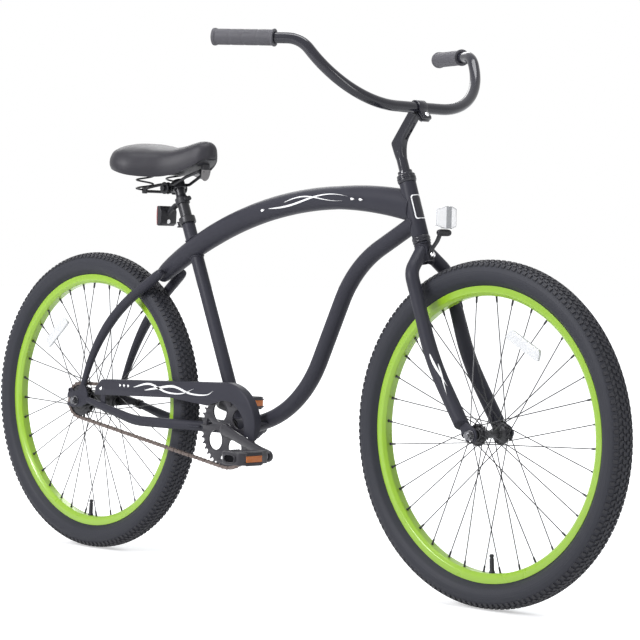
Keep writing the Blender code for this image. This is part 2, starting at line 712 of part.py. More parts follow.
def top_tube_path():
    # One arc from the closed rear end, over the seat tube, to the steering axis.
    head_end = steer_point(0, 0, TOP_TUBE_AT)
    crossing = seat_point(0, 0, TOP_TUBE_CROSSING)
    chord = head_end - crossing
    drop = sqrt(TOP_TUBE_ARC**2 - (chord.length / 2) ** 2)
    centre = (head_end + crossing) / 2 + ACROSS.cross(chord).normalized() * drop
    start = atan2(head_end.z - centre.z, head_end.x - centre.x)
    sweep = atan2(crossing.z - centre.z, crossing.x - centre.x) - start
    sweep += TOP_TUBE_TAIL / TOP_TUBE_ARC
    angles = [start + sweep * share for share in (1, 0.985, 0.96)]
    angles += [start + sweep * (1 - step / 9) for step in range(1, 10)]
    run = [centre + Vector((cos(angle), 0, sin(angle))) * TOP_TUBE_ARC for angle in angles]
    return run, head_end


def seat_stay_path(side):
    # From beside the top tube's rear end, bowed out and down to the dropout's lobe.
    tail = top_tube_path()[0][0]
    upper = tail + Vector((0.0290, side * SEAT_STAY_HALF_SPAN, 0.0058))
    foot = seat_stay_foot(side)
    chord = upper - foot
    middle = foot + chord * SEAT_STAY_BEND_AT + chord.cross(ACROSS).normalized() * SEAT_STAY_BOW
    middle.y = side * (REAR_DROPOUT_Y + 0.0013)
    return rounded_path([upper, middle, foot], [SEAT_STAY_BEND * chord.length], 6)


def seat_stay_foot(side):
    return REAR_AXLE + Vector((0.025, side * REAR_DROPOUT_Y, 0.039))


def chain_stay_path(side):
    corners = [REAR_AXLE + Vector((0.035, side * REAR_DROPOUT_Y, 0.0040)),
               REAR_AXLE + Vector((0.200, side * 0.0535, -0.0335)),
               CRANK + Vector((-0.185, side * 0.0465, 0.0010)),
               CRANK + Vector((-0.085, side * 0.0290, 0.0005)),
               CRANK + Vector((-0.018, side * 0.0205, 0))]
    return rounded_path(corners, [0.25, 0.12, 0.12], 2)


def dropout_outline():
    # Relative to the axle: a slot open to the rear, a lobe under the seat stay.
    slot = arc((0, 0), 0.0055, -pi / 2, pi / 2, 4)
    corners = [(-0.030, 0.0055), (-0.030, 0.0140), (-0.010, 0.0200), (0.006, 0.0240),
               (0.0180, 0.0418), (0.0317, 0.0357), (0.040, 0.0180), (0.042, -0.0040),
               (0.022, -0.0130), (-0.010, -0.0160), (-0.030, -0.0130), (-0.030, -0.0055)]
    return [(REAR_AXLE.x + x, REAR_AXLE.z + z) for x, z in corners + slot]


def eyelet(centre, y_near, y_far, radius=0.0055, hole=0.0026):
    axis = Vector((0, y_far - y_near, 0))
    start = Vector((centre[0], y_near, centre[1]))
    profile = [(hole, 0), (radius, 0), (radius, axis.length), (hole, axis.length)]
    return turned(profile, start, axis, 10)


def rear_stays(frame, mitre_shell, mitre_top):
    for name, side in SIDES:
        near = side * (REAR_DROPOUT_Y - REAR_DROPOUT_THICKNESS / 2)
        far = side * (REAR_DROPOUT_Y + REAR_DROPOUT_THICKNESS / 2)
        run = chain_stay_path(side)
        stay = body(f"chain_stay_{name}", tube(run, STAY_WIDTHS, 8, ACROSS, STAY_HEIGHTS),
                    "charcoal_paint", frame)
        cut(stay, mitre_shell)
        add(stay, tool(f"dropout_{name}", plate(dropout_outline(), near, far)))
        place = (REAR_AXLE.x - 0.021, REAR_AXLE.z + 0.0222)
        add(stay, tool(f"rear_eyelet_{name}", eyelet(place, near, far + side * EYELET_RISE)))
        if side == RIGHT:
            add(stay, tool("guard_rear_lug", guard_rear_lug()))

        run = seat_stay_path(side)
        taper = ((0, 0.0085), (0.03, SEAT_STAY_RADIUS), (0.55, SEAT_STAY_RADIUS),
                 (1, SEAT_STAY_END_RADIUS))
        run = [run[0] + (run[0] - run[1]).normalized() * 0.006] + run
        upper = body(f"seat_stay_{name}", tube(run, taper, 8), "charcoal_paint", frame)
        cut(upper, mitre_top)


def stay_bridge(frame):
    # The plate between the chain stays, behind the shell, that a kickstand bolts to.
    rear = REAR_AXLE.x + TYRE_RADIUS + BRIDGE_CLEARANCE
    front = rear + BRIDGE_LENGTH
    bm = block((rear, -0.0420, CRANK.z - 0.0015), (front, 0.0420, CRANK.z + 0.0020))
    bridge = body("chain_stay_bridge", bm, "charcoal_paint", frame)
    for name, side in SIDES:
        run = chain_stay_path(side)
        cutter = tube(run, wider(STAY_WIDTHS), 8, ACROSS, wider(STAY_HEIGHTS))
        outer = block((rear - 0.02, min(side * 0.031, side * 0.05), CRANK.z - 0.02),
                      (front + 0.02, max(side * 0.031, side * 0.05), CRANK.z + 0.02))
        cut(bridge, tool(f"bridge_cope_{name}", cutter), tool(f"bridge_trim_{name}", outer))
    hole = Vector(((front + rear) / 2, 0, CRANK.z))
    drill = rod(BRIDGE_HOLE_RADIUS, hole - Vector((0, 0, 0.02)), hole + Vector((0, 0, 0.02)), 10)
    cut(bridge, tool("bridge_hole", drill))


def seat_collar(frame):
    # A split band with an ear at the rear, where its bolt crosses.
    low = SEAT_TUBE_LENGTH - 0.0150
    band = sleeve(0.0180, SEAT_TUBE_RADIUS + GAP, seat_point(0, 0, low),
                  seat_point(0, 0, SEAT_TUBE_LENGTH), ROUND_STEPS)
    collar = body("seat_clamp", band, "black_steel", frame)
    middle = SEAT_TUBE_LENGTH - 0.0075
    ear = rod(0.0068, seat_point(-0.0235, -0.0085, middle), seat_point(-0.0235, 0.0085, middle), 10)
    add(collar, tool("seat_clamp_ear", ear))
    bolt = rod(0.0045, seat_point(-0.0235, -0.0125, middle), seat_point(-0.0235, 0.0120, middle), 6)
    add(collar, tool("seat_clamp_bolt", bolt))


def bracket_cups(frame):
    for name, side in SIDES:
        lip = side * (SHELL_HALF_LENGTH + GAP)
        outer = lip + side * 0.0025
        deep = lip - side * 0.0100
        profile = [(SPINDLE_RADIUS + 0.0035, outer), (SHELL_BORE + 0.0020, outer),
                   (SHELL_BORE + 0.0020, lip), (SHELL_BORE - GAP, lip), (SHELL_BORE - GAP, deep),
                   (SHELL_BORE - 0.0030, deep), (SHELL_BORE - 0.0030, lip)]
        body(f"bottom_bracket_cup_{name}", turned(profile, CRANK, ACROSS, ROUND_STEPS), "black_steel",
             frame)


# Chain guard

def guard_outline(inset=0.0):
    # Outer edge from the rear end over to the front, then back round the chain ring.
    corners = [(*GUARD_TOP_REAR, 0), (*GUARD_FRONT_TOP, 0), (*GUARD_FRONT_LOW, 0)]
    path = rounded_path(corners, [GUARD_CORNER_RADIUS], 8)
    outer = [(point.x, point.y) for point in path]
    inner = arc((0, 0), GUARD_INNER_RADIUS, radians(-2), radians(114), 9)
    rear = [(-0.0564, 0.0479), (-0.1768, 0.0584), (-0.4343, 0.0510), (-0.4347, 0.0680)]
    if inset:
        outer = [(x - inset * 0.6, z - inset) for x, z in outer]
        outer[0] = (outer[0][0] - 0.03, outer[0][1] - 0.001)
        outer[-1] = (outer[-1][0], outer[-1][1] - 0.03)
        inner = arc((0, 0), GUARD_INNER_RADIUS - 0.02, radians(-30), radians(114), 9)
        rear = [(-0.06, 0.02), (-0.46, 0.02), (-0.46, 0.0680)]
    return [(CRANK.x + x, CRANK.z + z) for x, z in outer + inner + rear]


def chain_guard(frame):
    near = GUARD_OUTER_Y
    solid = plate(guard_outline(), near, near + GUARD_DEPTH)
    guard = body("chain_guard", solid, "charcoal_paint", frame)
    hollow = plate(guard_outline(GUARD_SKIN), near + GUARD_SKIN, near + GUARD_DEPTH + 0.01)
    cut(guard, tool("guard_hollow", hollow))


def guard_front_lug():
    # A strap from the down tube out to the guard, beyond the reach of the chain.
    inner = -DOWN_TUBE_RADIUS + 0.006
    outer = GUARD_OUTER_Y + GUARD_SKIN + GAP
    x = CRANK.x + RING_RADIUS + TOOTH_HEIGHT + 0.0012
    run = down_tube_path()
    before, after = next(pair for pair in zip(run, run[1:]) if pair[1].x >= x)
    line = before.lerp(after, (x - before.x) / (after.x - before.x)).z
    return block((x, outer, line - 0.0100), (x + 0.0042, inner, line - 0.0065))


def guard_rear_lug():
    # A tab on the right chain stay that stands up behind the guard.
    outer = GUARD_OUTER_Y + GUARD_SKIN + GAP
    return block((REAR_AXLE.x + 0.080, outer, REAR_AXLE.z - 0.010),
                 (REAR_AXLE.x + 0.096, outer + 0.0026, REAR_AXLE.z + 0.038))


# Crank, pedals and brake arm

def crank_direction(side):
    # The right arm points forward and down; the left one is opposite.
    angle = CRANK_ANGLE if side == RIGHT else CRANK_ANGLE + pi
    return Vector((cos(angle), 0, sin(angle)))


def pedal_centre(side):
    return CRANK + crank_direction(side) * CRANK_LENGTH + ACROSS * side * CRANK_TIP_Y


def crank_arm(side):
    # A flat bar with round ends that leans outward from the spindle to the pedal.
    along = crank_direction(side)
    over = ACROSS.cross(along)
    run = [(-0.0125, 0.0050), (-0.0080, 0.0100), (0, 0.0125), (0.030, 0.0115), (0.130, 0.0098),
           (CRANK_LENGTH, 0.0125), (CRANK_LENGTH + 0.0080, 0.0098), (CRANK_LENGTH + 0.0125, 0.0045)]
    rings = []
    for reach, half in run:
        share = max(0, min(1, reach / CRANK_LENGTH))
        y = side * (CRANK_ROOT_Y + (CRANK_TIP_Y - CRANK_ROOT_Y) * share)
        middle = CRANK + along * reach + ACROSS * y
        thick = CRANK_HALF_THICKNESS
        lip = thick * 0.6
        corners = [(-half, -lip), (-half * 0.8, -thick), (half * 0.8, -thick), (half, -lip),
                   (half, lip), (half * 0.8, thick), (-half * 0.8, thick), (-half, lip)]
        rings.append([middle + over * a + ACROSS * b for a, b in corners])
    return skin(bmesh.new(), rings)


def crank_set(parent):
    # One forging: spindle with its bearing cones, and both arms.
    inner = CRANK_ROOT_Y - CRANK_HALF_THICKNESS / 2
    seat = CHAIN_LINE - SPROCKET_HALF_THICKNESS - GAP
    back = CHAIN_LINE + SPROCKET_HALF_THICKNESS + GAP
    cup = SHELL_HALF_LENGTH + 0.0025 + 3 * GAP
    cone = SPINDLE_RADIUS + 0.0055
    r = SPINDLE_RADIUS
    profile = [(0, -inner), (cone, -inner), (cone, -back), (r, -back), (r, -seat),
               (cone, -seat), (cone, -cup), (r + 0.0022, -cup), (r, -cup + 0.006), (r, cup - 0.006),
               (r + 0.0022, cup), (cone, cup), (cone, cup + 0.008),
               (r + 0.002, cup + 0.010), (r + 0.002, inner), (0, inner)]
    crank = body("crank", turned(profile, CRANK, ACROSS, 12), "black_steel", parent)
    for name, side in SIDES:
        arm = tool(f"crank_arm_{name}", crank_arm(side))
        add(crank, arm)
    for name, side in SIDES:
        centre = pedal_centre(side)
        hole = rod(0.0070, centre - ACROSS * 0.02, centre + ACROSS * 0.02, 10)
        cut(crank, tool(f"pedal_thread_{name}", hole))

    angle, lift, straight, on_ring, on_cog = chain_layout()
    first = lift + pi / 2 + angle - pi / RING_TEETH
    outline = toothed_outline(CRANK, RING_RADIUS, RING_TEETH, first, RING_TOOTH_ROOT_HALF)
    near = -CHAIN_LINE - SPROCKET_HALF_THICKNESS
    far = -CHAIN_LINE + SPROCKET_HALF_THICKNESS
    ring = body("chainring", plate(outline, near, far), "black_steel", parent)
    openings = bmesh.new()
    for quarter in range(4):
        turn = radians(123) + quarter * pi / 2
        middle = CRANK + Vector((cos(turn), 0, sin(turn))) * 0.0440 - ACROSS * CHAIN_LINE
        rod(0.0212, middle - ACROSS * 0.01, middle + ACROSS * 0.01, 12, openings)
        turn = radians(168) + quarter * pi / 2
        outward = [(0.0490, 0), (0.0655, 0.0085), (0.0672, 0), (0.0655, -0.0085)]
        points = [(CRANK.x + a * cos(turn) - b * sin(turn), CRANK.z + a * sin(turn) + b * cos(turn))
                  for a, b in outward]
        plate(points, -CHAIN_LINE - 0.01, -CHAIN_LINE + 0.01, openings)
    rod(SPINDLE_RADIUS + GAP, CRANK - ACROSS * 0.06, CRANK - ACROSS * 0.03, 12, openings)
    cut(ring, tool("ring_openings", openings))


def rear_sprocket(parent):
    # The driver of the coaster hub with its toothed disc.
    angle, lift, straight, on_ring, on_cog = chain_layout()
    pin = lift - pi / 2 - angle + 2 * pi * ((on_ring + straight) % 1) / COG_TEETH
    first = pin + pi / COG_TEETH
    outline = toothed_outline(REAR_AXLE, COG_RADIUS, COG_TEETH, first, COG_TOOTH_ROOT_HALF)
    near = -CHAIN_LINE - SPROCKET_HALF_THICKNESS
    far = -CHAIN_LINE + SPROCKET_HALF_THICKNESS
    cog = body("rear_sprocket", plate(outline, near, far), "black_steel", parent)
    boss = rod(0.0185, REAR_AXLE - ACROSS * 0.0505, REAR_AXLE - ACROSS * 0.0390, 14)
    add(cog, tool("driver_boss", boss))
    bore = rod(AXLE_RADIUS + RUNNING, REAR_AXLE - ACROSS * 0.07, REAR_AXLE - ACROSS * 0.03, 10)
    cut(cog, tool("driver_bore", bore))


def brake_arm(frame):
    # The steel arm on the left that a clip holds to the chain stay.
    near = BRAKE_ARM_Y
    far = BRAKE_ARM_Y + 0.0022
    stay = chain_stay_path(LEFT)
    clip_x = REAR_AXLE.x + BRAKE_ARM_LENGTH
    index = next(index for index, point in enumerate(stay) if point.x >= clip_x)
    before, after = stay[index - 1], stay[index]
    part = (clip_x - before.x) / (after.x - before.x)
    tip = before.lerp(after, part)
    marks = shares(stay)
    mark = marks[index - 1] + (marks[index] - marks[index - 1]) * part
    snug = (blend(STAY_WIDTHS, mark) + 2 * GAP, blend(STAY_HEIGHTS, mark) + 2 * GAP)
    away = Vector((tip.x - REAR_AXLE.x, 0, tip.z + 0.0060 - REAR_AXLE.z))
    along = away.normalized()
    over = ACROSS.cross(along)
    outline = []
    for step in range(7):
        angle = pi / 2 + pi * step / 6
        point = REAR_AXLE + along * cos(angle) * 0.0165 + over * sin(angle) * 0.0165
        outline.append((point.x, point.z))
    for reach, half in ((away.length, -0.0060), (away.length, 0.0060)):
        point = REAR_AXLE + along * reach + over * half
        outline.append((point.x, point.z))
    arm = body("coaster_brake_arm", plate(outline, near, far), "black_steel", frame)
    hole = rod(AXLE_RADIUS + GAP, REAR_AXLE, REAR_AXLE + ACROSS * 0.07, 10)
    cut(arm, tool("brake_arm_hole", hole))
    # The clip goes round the stay as a band and meets the arm above it.
    ahead = (after - before).normalized()
    tab = block((tip.x - 0.0065, near, tip.z - 0.0045), (tip.x + 0.0065, tip.y, tip.z + 0.0045))
    add(arm, tool("brake_tab", tab))
    for purpose, grow, reach in (("clip", BRAKE_CLIP_THICKNESS, 0.0065), ("clip_bore", 0, 0.02)):
        ends = [tip - ahead * reach, tip + ahead * reach]
        rings = rings_along(ends, [snug[0] + grow] * 2, [snug[1] + grow] * 2, 12, ACROSS)
        lump = tool(f"brake_{purpose}", skin(bmesh.new(), rings))
        combine(arm, lump, "UNION" if grow else "DIFFERENCE")


def pedal(name, side, parent, crank_pivot):
    # A moulded body: a neck round the axle, then two tread bars with pockets between.
    centre = pedal_centre(side)
    inner = CRANK_HALF_THICKNESS
    neck = inner + 0.0050 + 2 * GAP
    tread = neck + PEDAL_NECK
    end = tread + PEDAL_TREAD
    axle_end = end - 0.0120
    axle = [(0, -inner), (0.0070 - GAP, -inner), (0.0070 - GAP, inner + GAP),
            (0.0088, inner + GAP), (0.0088, inner + 0.0050), (AXLE_RADIUS, inner + 0.0050),
            (AXLE_RADIUS, axle_end), (0, axle_end)]
    axle = [(r, side * along) for r, along in axle]
    body(f"pedal_axle_{name}", turned(axle, centre, ACROSS, 10), "zinc_steel", crank_pivot)

    half = PEDAL_HALF_LENGTH
    plan = [(-0.0135, neck), (0.0135, neck), (0.0190, tread), (half, tread), (half, end - 0.012),
            (half - 0.010, end), (0.010 - half, end), (-half, end - 0.012), (-half, tread),
            (-0.0190, tread)]
    rings = [[centre + Vector((x, side * y, z)) for x, y in plan]
             for z in (-PEDAL_HALF_HEIGHT, PEDAL_HALF_HEIGHT)]
    cage = body(f"pedal_{name}", skin(bmesh.new(), rings), "black_plastic", parent)
    cuts = bmesh.new()
    deep = 0.03
    pockets = (((-0.0240, -deep), (-0.0125, deep), tread + 0.009, end - 0.017),
               ((0.0125, -deep), (0.0240, deep), tread + 0.009, end - 0.017),
               ((-half - 0.01, -0.0068), (0.0026 - half, 0.0068), tread + 0.008, end - 0.014),
               ((half - 0.0026, -0.0068), (half + 0.01, 0.0068), tread + 0.008, end - 0.014),
               ((-0.0120, -0.0050), (0.0120, 0.0050), end - 0.0040, end + 0.01))
    for low, high, first, last in pockets:
        y = sorted((centre.y + side * first, centre.y + side * last))
        block((centre.x + low[0], y[0], centre.z + low[1]),
              (centre.x + high[0], y[1], centre.z + high[1]), cuts)
    start = centre + ACROSS * side * (neck - 0.01)
    rod(AXLE_RADIUS + RUNNING, start, centre + ACROSS * side * (axle_end + RUNNING), 10, cuts)
    cut(cage, tool(f"pedal_cuts_{name}", cuts))


# Fork, headset, stem and handlebar

def headset(frame, fork):
    low = HEAD_TUBE_BOTTOM
    high = HEAD_TUBE_BOTTOM + HEAD_TUBE_LENGTH
    foot = steer_point(0, 0, 0)
    skirt = STEERER_RADIUS + 0.0010
    lower = [(skirt, low - 0.0140), (0.0165, low - 0.0140), (0.0182, low - 0.0110),
             (0.0182, low - 0.0050), (0.0172, low - GAP), (HEAD_TUBE_BORE - GAP, low - GAP),
             (HEAD_TUBE_BORE - GAP, low + 0.010), (skirt, low + 0.010)]
    body("headset_lower_cup", turned(lower, foot, STEER_UP, ROUND_STEPS), "gloss_black", frame)
    upper = [(skirt, high + 0.0075), (0.0186, high + 0.0075), (0.0186, high + 0.0045),
             (0.0172, high + GAP), (HEAD_TUBE_BORE - GAP, high + GAP),
             (HEAD_TUBE_BORE - GAP, high - 0.010), (skirt, high - 0.010)]
    body("headset_upper_cup", turned(upper, foot, STEER_UP, ROUND_STEPS), "gloss_black", frame)
    race = high + 0.0075 + GAP
    bore = STEERER_RADIUS + GAP
    nut = [(bore, race), (0.0186, race), (0.0186, race + 0.0080), (0.0145, race + 0.0090),
           (0.0145, race + 0.0165), (QUILL_RADIUS + RUNNING, race + 0.0165),
           (QUILL_RADIUS + RUNNING, STEERER_TOP + GAP), (bore, STEERER_TOP + GAP)]
    body("headset_locknut", turned(nut, foot, STEER_UP, ROUND_STEPS), "gloss_black", fork)


def leg_path(side):
    # Out from under the crown, straight down beside the tyre, then forward to the axle.
    corners = [steer_point(0, side * 0.004, CROWN_BOTTOM + 0.0275),
               steer_point(0, side * LEG_HALF_SPAN, CROWN_BOTTOM - 0.0195),
               steer_point(0, side * (LEG_HALF_SPAN - 0.0005), 0.1650),
               steer_point(0.0355, side * LEG_HALF_SPAN, 0.0235)]
    return rounded_path(corners, [0.040, 0.450], 4)


def fork_parts(fork):
    foot = steer_point(0, 0, 0)
    bore = STEERER_BORE
    column = [(bore, CROWN_BOTTOM), (CROWN_RADIUS, CROWN_BOTTOM), (CROWN_RADIUS, CROWN_TOP),
              (0.0175, CROWN_TOP), (0.0170, CROWN_TOP + 0.0026), (STEERER_RADIUS, CROWN_TOP + 0.0026),
              (STEERER_RADIUS, STEERER_TOP), (bore, STEERER_TOP)]
    body("fork_steerer", turned(column, foot, STEER_UP, ROUND_STEPS), "charcoal_paint", fork)
    mitre = tool("mitre_crown", rod(CROWN_RADIUS + GAP, steer_point(0, 0, CROWN_BOTTOM - 0.05),
                                    steer_point(0, 0, CROWN_TOP + 0.02), ROUND_STEPS))
    for name, side in SIDES:
        run = leg_path(side)
        taper = ((0, LEG_RADIUS), (0.62, LEG_RADIUS), (1, LEG_END_RADIUS))
        leg = body(f"fork_leg_{name}", tube(run, taper, 8), "charcoal_paint", fork)
        cut(leg, mitre)
        half = FRONT_DROPOUT_THICKNESS / 2
        near = side * (LEG_HALF_SPAN - half)
        far = side * (LEG_HALF_SPAN + half)
        x, z = FRONT_AXLE.x, FRONT_AXLE.z
        blade = [(-0.034, 0.0230), (-0.020, 0.0285), (0.0100, 0.0125), (0.0145, 0.0010),
                 (0.0120, -0.0120), (0.0052, -0.0150)]
        slot = arc((0, 0), 0.0052, 0, pi, 4)
        tail = [(-0.0052, -0.0150), (-0.0120, -0.0110), (-0.0160, 0.0040)]
        outline = [(x + a, z + b) for a, b in blade + slot + tail]
        add(leg, tool(f"front_dropout_{name}", plate(outline, near, far)))
        place = (x - 0.0185, z - 0.0015)
        add(leg, tool(f"front_eyelet_{name}", eyelet(place, near, far)))


def stem_and_bar(stem_pivot, bar_pivot):
    clamp = steer_point(BAR_REACH, 0, BAR_HEIGHT)
    run = rounded_path([steer_point(0, 0, STEERER_TOP - 0.1045), steer_point(0, 0, BAR_HEIGHT - 0.0488),
                        steer_point(BAR_REACH, 0, BAR_HEIGHT)], [0.018], 4)
    run.insert(1, steer_point(0, 0, STEERER_TOP + 0.0080))
    depth = ((0, QUILL_RADIUS), (0.46, QUILL_RADIUS), (0.58, 0.0124), (0.75, 0.0122), (1, 0.0105))
    width = ((0, QUILL_RADIUS), (0.46, QUILL_RADIUS), (0.58, 0.0098), (1, 0.0098))
    stem = body("stem", tube(run, width, 12, ACROSS, depth), "gloss_black", stem_pivot)
    half = 0.0120
    barrel = rod(0.0148, clamp - ACROSS * half, clamp + ACROSS * half, 14)
    lug_out = (STEER_FORWARD * 0.356 - STEER_UP * 0.935).normalized()
    lug_over = ACROSS.cross(lug_out)
    corners = [(0.006, -0.0085), (0.0330, -0.0070), (0.0330, 0.0070), (0.006, 0.0085)]
    lug_outline = [clamp + lug_out * a + lug_over * b for a, b in corners]
    lug = plate([(point.x, point.z) for point in lug_outline], -half, half)
    add(stem, tool("stem_barrel", barrel), tool("stem_lug", lug))
    bore = rod(BAR_RADIUS + GAP, clamp - ACROSS * 0.05, clamp + ACROSS * 0.05, 14)
    corners = [(0, -0.0008), (0.05, -0.0008), (0.05, 0.0008), (0, 0.0008)]
    slit_outline = [clamp + lug_out * a + lug_over * b for a, b in corners]
    slit = plate([(point.x, point.z) for point in slit_outline], -0.03, 0.03)
    cut(stem, tool("stem_bore", bore), tool("stem_slit", slit))

    run = bar_path(clamp)
    body("handlebar", tube(run, BAR_RADIUS, BAR_STEPS, Vector((0, 0, 1))), "gloss_black", bar_pivot)
    for name, side in SIDES:
        end = run[-1] if side == LEFT else run[0]
        inner = run[-2] if side == LEFT else run[1]
        along = (inner - end).normalized()
        bore = BAR_RADIUS + GAP
        grip = [(0, -GRIP_CAP), (0.0120, -GRIP_CAP), (0.0172, -0.0025), (0.0172, 0.0030),
                (GRIP_RADIUS, 0.0045), (GRIP_RADIUS, GRIP_LENGTH - 0.0045),
                (0.0172, GRIP_LENGTH - 0.0030), (0.0172, GRIP_LENGTH), (bore, GRIP_LENGTH),
                (bore, -GAP), (0, -GAP)]
        body(f"grip_{name}", turned(grip, end, along, 14), "grip_rubber", bar_pivot)


def bar_path(clamp):
    # Straight through the clamp, up and back in one wide bend, then back to the grips.
    corners = []
    for side in (RIGHT, LEFT):
        bend = clamp + Vector((0, side * 0.1915, 0))
        wrist = clamp + Vector((-0.0827, side * 0.2472, 0.1225))
        end = clamp + Vector((-0.2485, side * 0.3252, 0.1280))
        end += (wrist - end).normalized() * GRIP_CAP
        corners.append([end, wrist, bend])
    path = corners[0] + corners[1][::-1]
    return rounded_path(path, [0.059, 0.184, 0.184, 0.059], 5)


def front_reflector(fork):
    # A clear square reflector on a bent strap from the front of the crown.
    foot_low = steer_point(CROWN_RADIUS + GAP, 0, CROWN_BOTTOM + 0.0030)
    foot_high = steer_point(CROWN_RADIUS + GAP, 0, CROWN_TOP - 0.0195)
    lens_low = steer_point(0.0700, 0, CROWN_TOP + 0.0095)
    path = [foot_low, foot_high, steer_point(0.0370, 0, CROWN_TOP - 0.0075),
            steer_point(0.0530, 0, CROWN_TOP + 0.0070)]
    outward = STEER_FORWARD * 0.0030
    outline = [(p.x, p.z) for p in path]
    outline += [((p + outward).x, (p + outward).z) for p in reversed(path)]
    bracket = body("front_reflector_bracket", plate(outline, -0.0060, 0.0060), "black_plastic", fork)
    base = (lens_low.x, lens_low.z)
    knuckle = Vector((base[0] - 0.0065, 0, base[1] - 0.0078))
    shelf = rod(0.0074, knuckle - ACROSS * 0.0105, knuckle + ACROSS * 0.0105, 12)
    bolt_at = CROWN_BOTTOM + 0.0100
    bolt = rod(0.0055, steer_point(CROWN_RADIUS + 0.002, 0, bolt_at),
               steer_point(CROWN_RADIUS + 0.0085, 0, bolt_at), 8)
    add(bracket, tool("reflector_shelf", shelf), tool("reflector_bolt", bolt))
    x, z = base
    lens = front_lens((x, z + GAP))
    body("front_reflector", lens, "clear_lens", fork)


def front_lens(foot):
    # Three upright facets, the outer two folded back, with a chamfered outline.
    x, z = foot
    columns = [(-0.0230, -0.0052, 0.0060, 0.0360), (-0.0095, 0.0060, 0, 0.0430),
               (0.0095, 0.0060, 0, 0.0430), (0.0230, -0.0052, 0.0060, 0.0360)]
    rings = []
    for y, face, low, high in columns:
        rings.append([Vector((x + face, y, z + low)), Vector((x + face, y, z + high)),
                      Vector((x - 0.0080, y, z + high)), Vector((x - 0.0080, y, z + low))])
    return skin(bmesh.new(), rings)


# Seat post, rear reflector and saddle

def tilt_axis():
    return seat_point(-TILT_BEHIND, 0, TILT_AT)


def seat_post(post):
    foot = SEAT_TUBE_LENGTH - POST_INSERTION
    wall = 0.0020
    profile = [(POST_RADIUS - wall, foot), (POST_RADIUS, foot), (POST_RADIUS, NECK_AT),
               (POST_NECK_RADIUS, NECK_AT + 0.006), (POST_NECK_RADIUS, POST_TOP),
               (POST_NECK_RADIUS - wall, POST_TOP), (POST_NECK_RADIUS - wall, NECK_AT),
               (POST_RADIUS - wall, NECK_AT - 0.004)]
    body("seat_post", turned(profile, SEAT_FOOT, SEAT_UP, ROUND_STEPS), "black_steel", post)

    low = TILT_AT - 0.0090
    high = TILT_AT + 0.0090
    band = sleeve(0.0150, POST_NECK_RADIUS + GAP, seat_point(0, 0, low), seat_point(0, 0, high),
                  ROUND_STEPS)
    clamp = body("saddle_clamp_band", band, "black_steel", post)
    axis = tilt_axis()
    ear = rod(0.0090, axis - ACROSS * 0.0150, axis + ACROSS * 0.0150, 10)
    bore = rod(POST_NECK_RADIUS + GAP, seat_point(0, 0, low - 0.02), seat_point(0, 0, high + 0.02),
               ROUND_STEPS)
    pin = rod(TILT_BOLT_RADIUS + GAP, axis - ACROSS * 0.03, axis + ACROSS * 0.03, 8)
    add(clamp, tool("saddle_clamp_ear", ear))
    cut(clamp, tool("saddle_clamp_bore", bore), tool("saddle_clamp_pin", pin))


def rear_reflector(post):
    # A red reflector in a black housing, on a band round the post.
    middle = NECK_AT - REFLECTOR_BELOW_NECK
    band = sleeve(0.0155, POST_RADIUS + GAP, seat_point(0, 0, middle - 0.0070),
                  seat_point(0, 0, middle + 0.0070), ROUND_STEPS)
    bracket = body("rear_reflector_bracket", band, "black_plastic", post)
    start = seat_point(-0.0140, 0, middle)
    back = start + Vector((-0.0390, 0, -0.0265))
    arm = tube([start, start + Vector((-0.0270, 0, -0.0150)), back], 0.0060, 8, ACROSS, 0.0045)
    housing = [(back.x + 0.0065, back.z - 0.0165), (back.x + 0.0080, back.z + 0.0100),
               (back.x + 0.0020, back.z + 0.0215), (back.x - 0.0060, back.z + 0.0215),
               (back.x - 0.0060, back.z - 0.0215), (back.x - 0.0010, back.z - 0.0225)]
    shell = plate(housing, -0.0230, 0.0230)
    add(bracket, tool("rear_reflector_arm", arm), tool("rear_reflector_housing", shell))
    x = back.x - 0.0060 - GAP
    lens = [(x, back.z - 0.0205), (x, back.z + 0.0205), (x - 0.0030, back.z + 0.0170),
            (x - 0.0045, back.z), (x - 0.0030, back.z - 0.0170)]
    body("rear_reflector", plate(lens, -0.0215, 0.0215), "red_lens", post)


def nose_point():
    # The loop of the rails that the saddle's nose hinges on.
    return tilt_axis() + Vector((NOSE_AHEAD, 0, NOSE_LIFT))


def rail_path():
    # One wire: nose loop, past the clamp on both sides, and across behind the springs.
    axis = tilt_axis()
    nose = nose_point()
    lift = TILT_BOLT_RADIUS + RAIL_RADIUS + GAP
    half = [(nose.x, 0.0120, nose.z), (axis.x + 0.062, 0.0190, axis.z + 0.0240),
            (axis.x + 0.026, RAIL_HALF_SPACING, axis.z + lift),
            (axis.x - 0.021, RAIL_HALF_SPACING, axis.z + lift),
            (axis.x - SPRING_BEHIND, RAIL_TAIL_HALF_SPAN, axis.z - SPRING_DROP)]
    mirror = [(x, -y, z) for x, y, z in reversed(half)]
    corners = [nose] + half + mirror + [nose]
    radii = [0.006, 0.030, 0.020, 0.020, 0.012, 0.012, 0.020, 0.020, 0.030, 0.006]
    return rounded_path(corners, radii, 2)


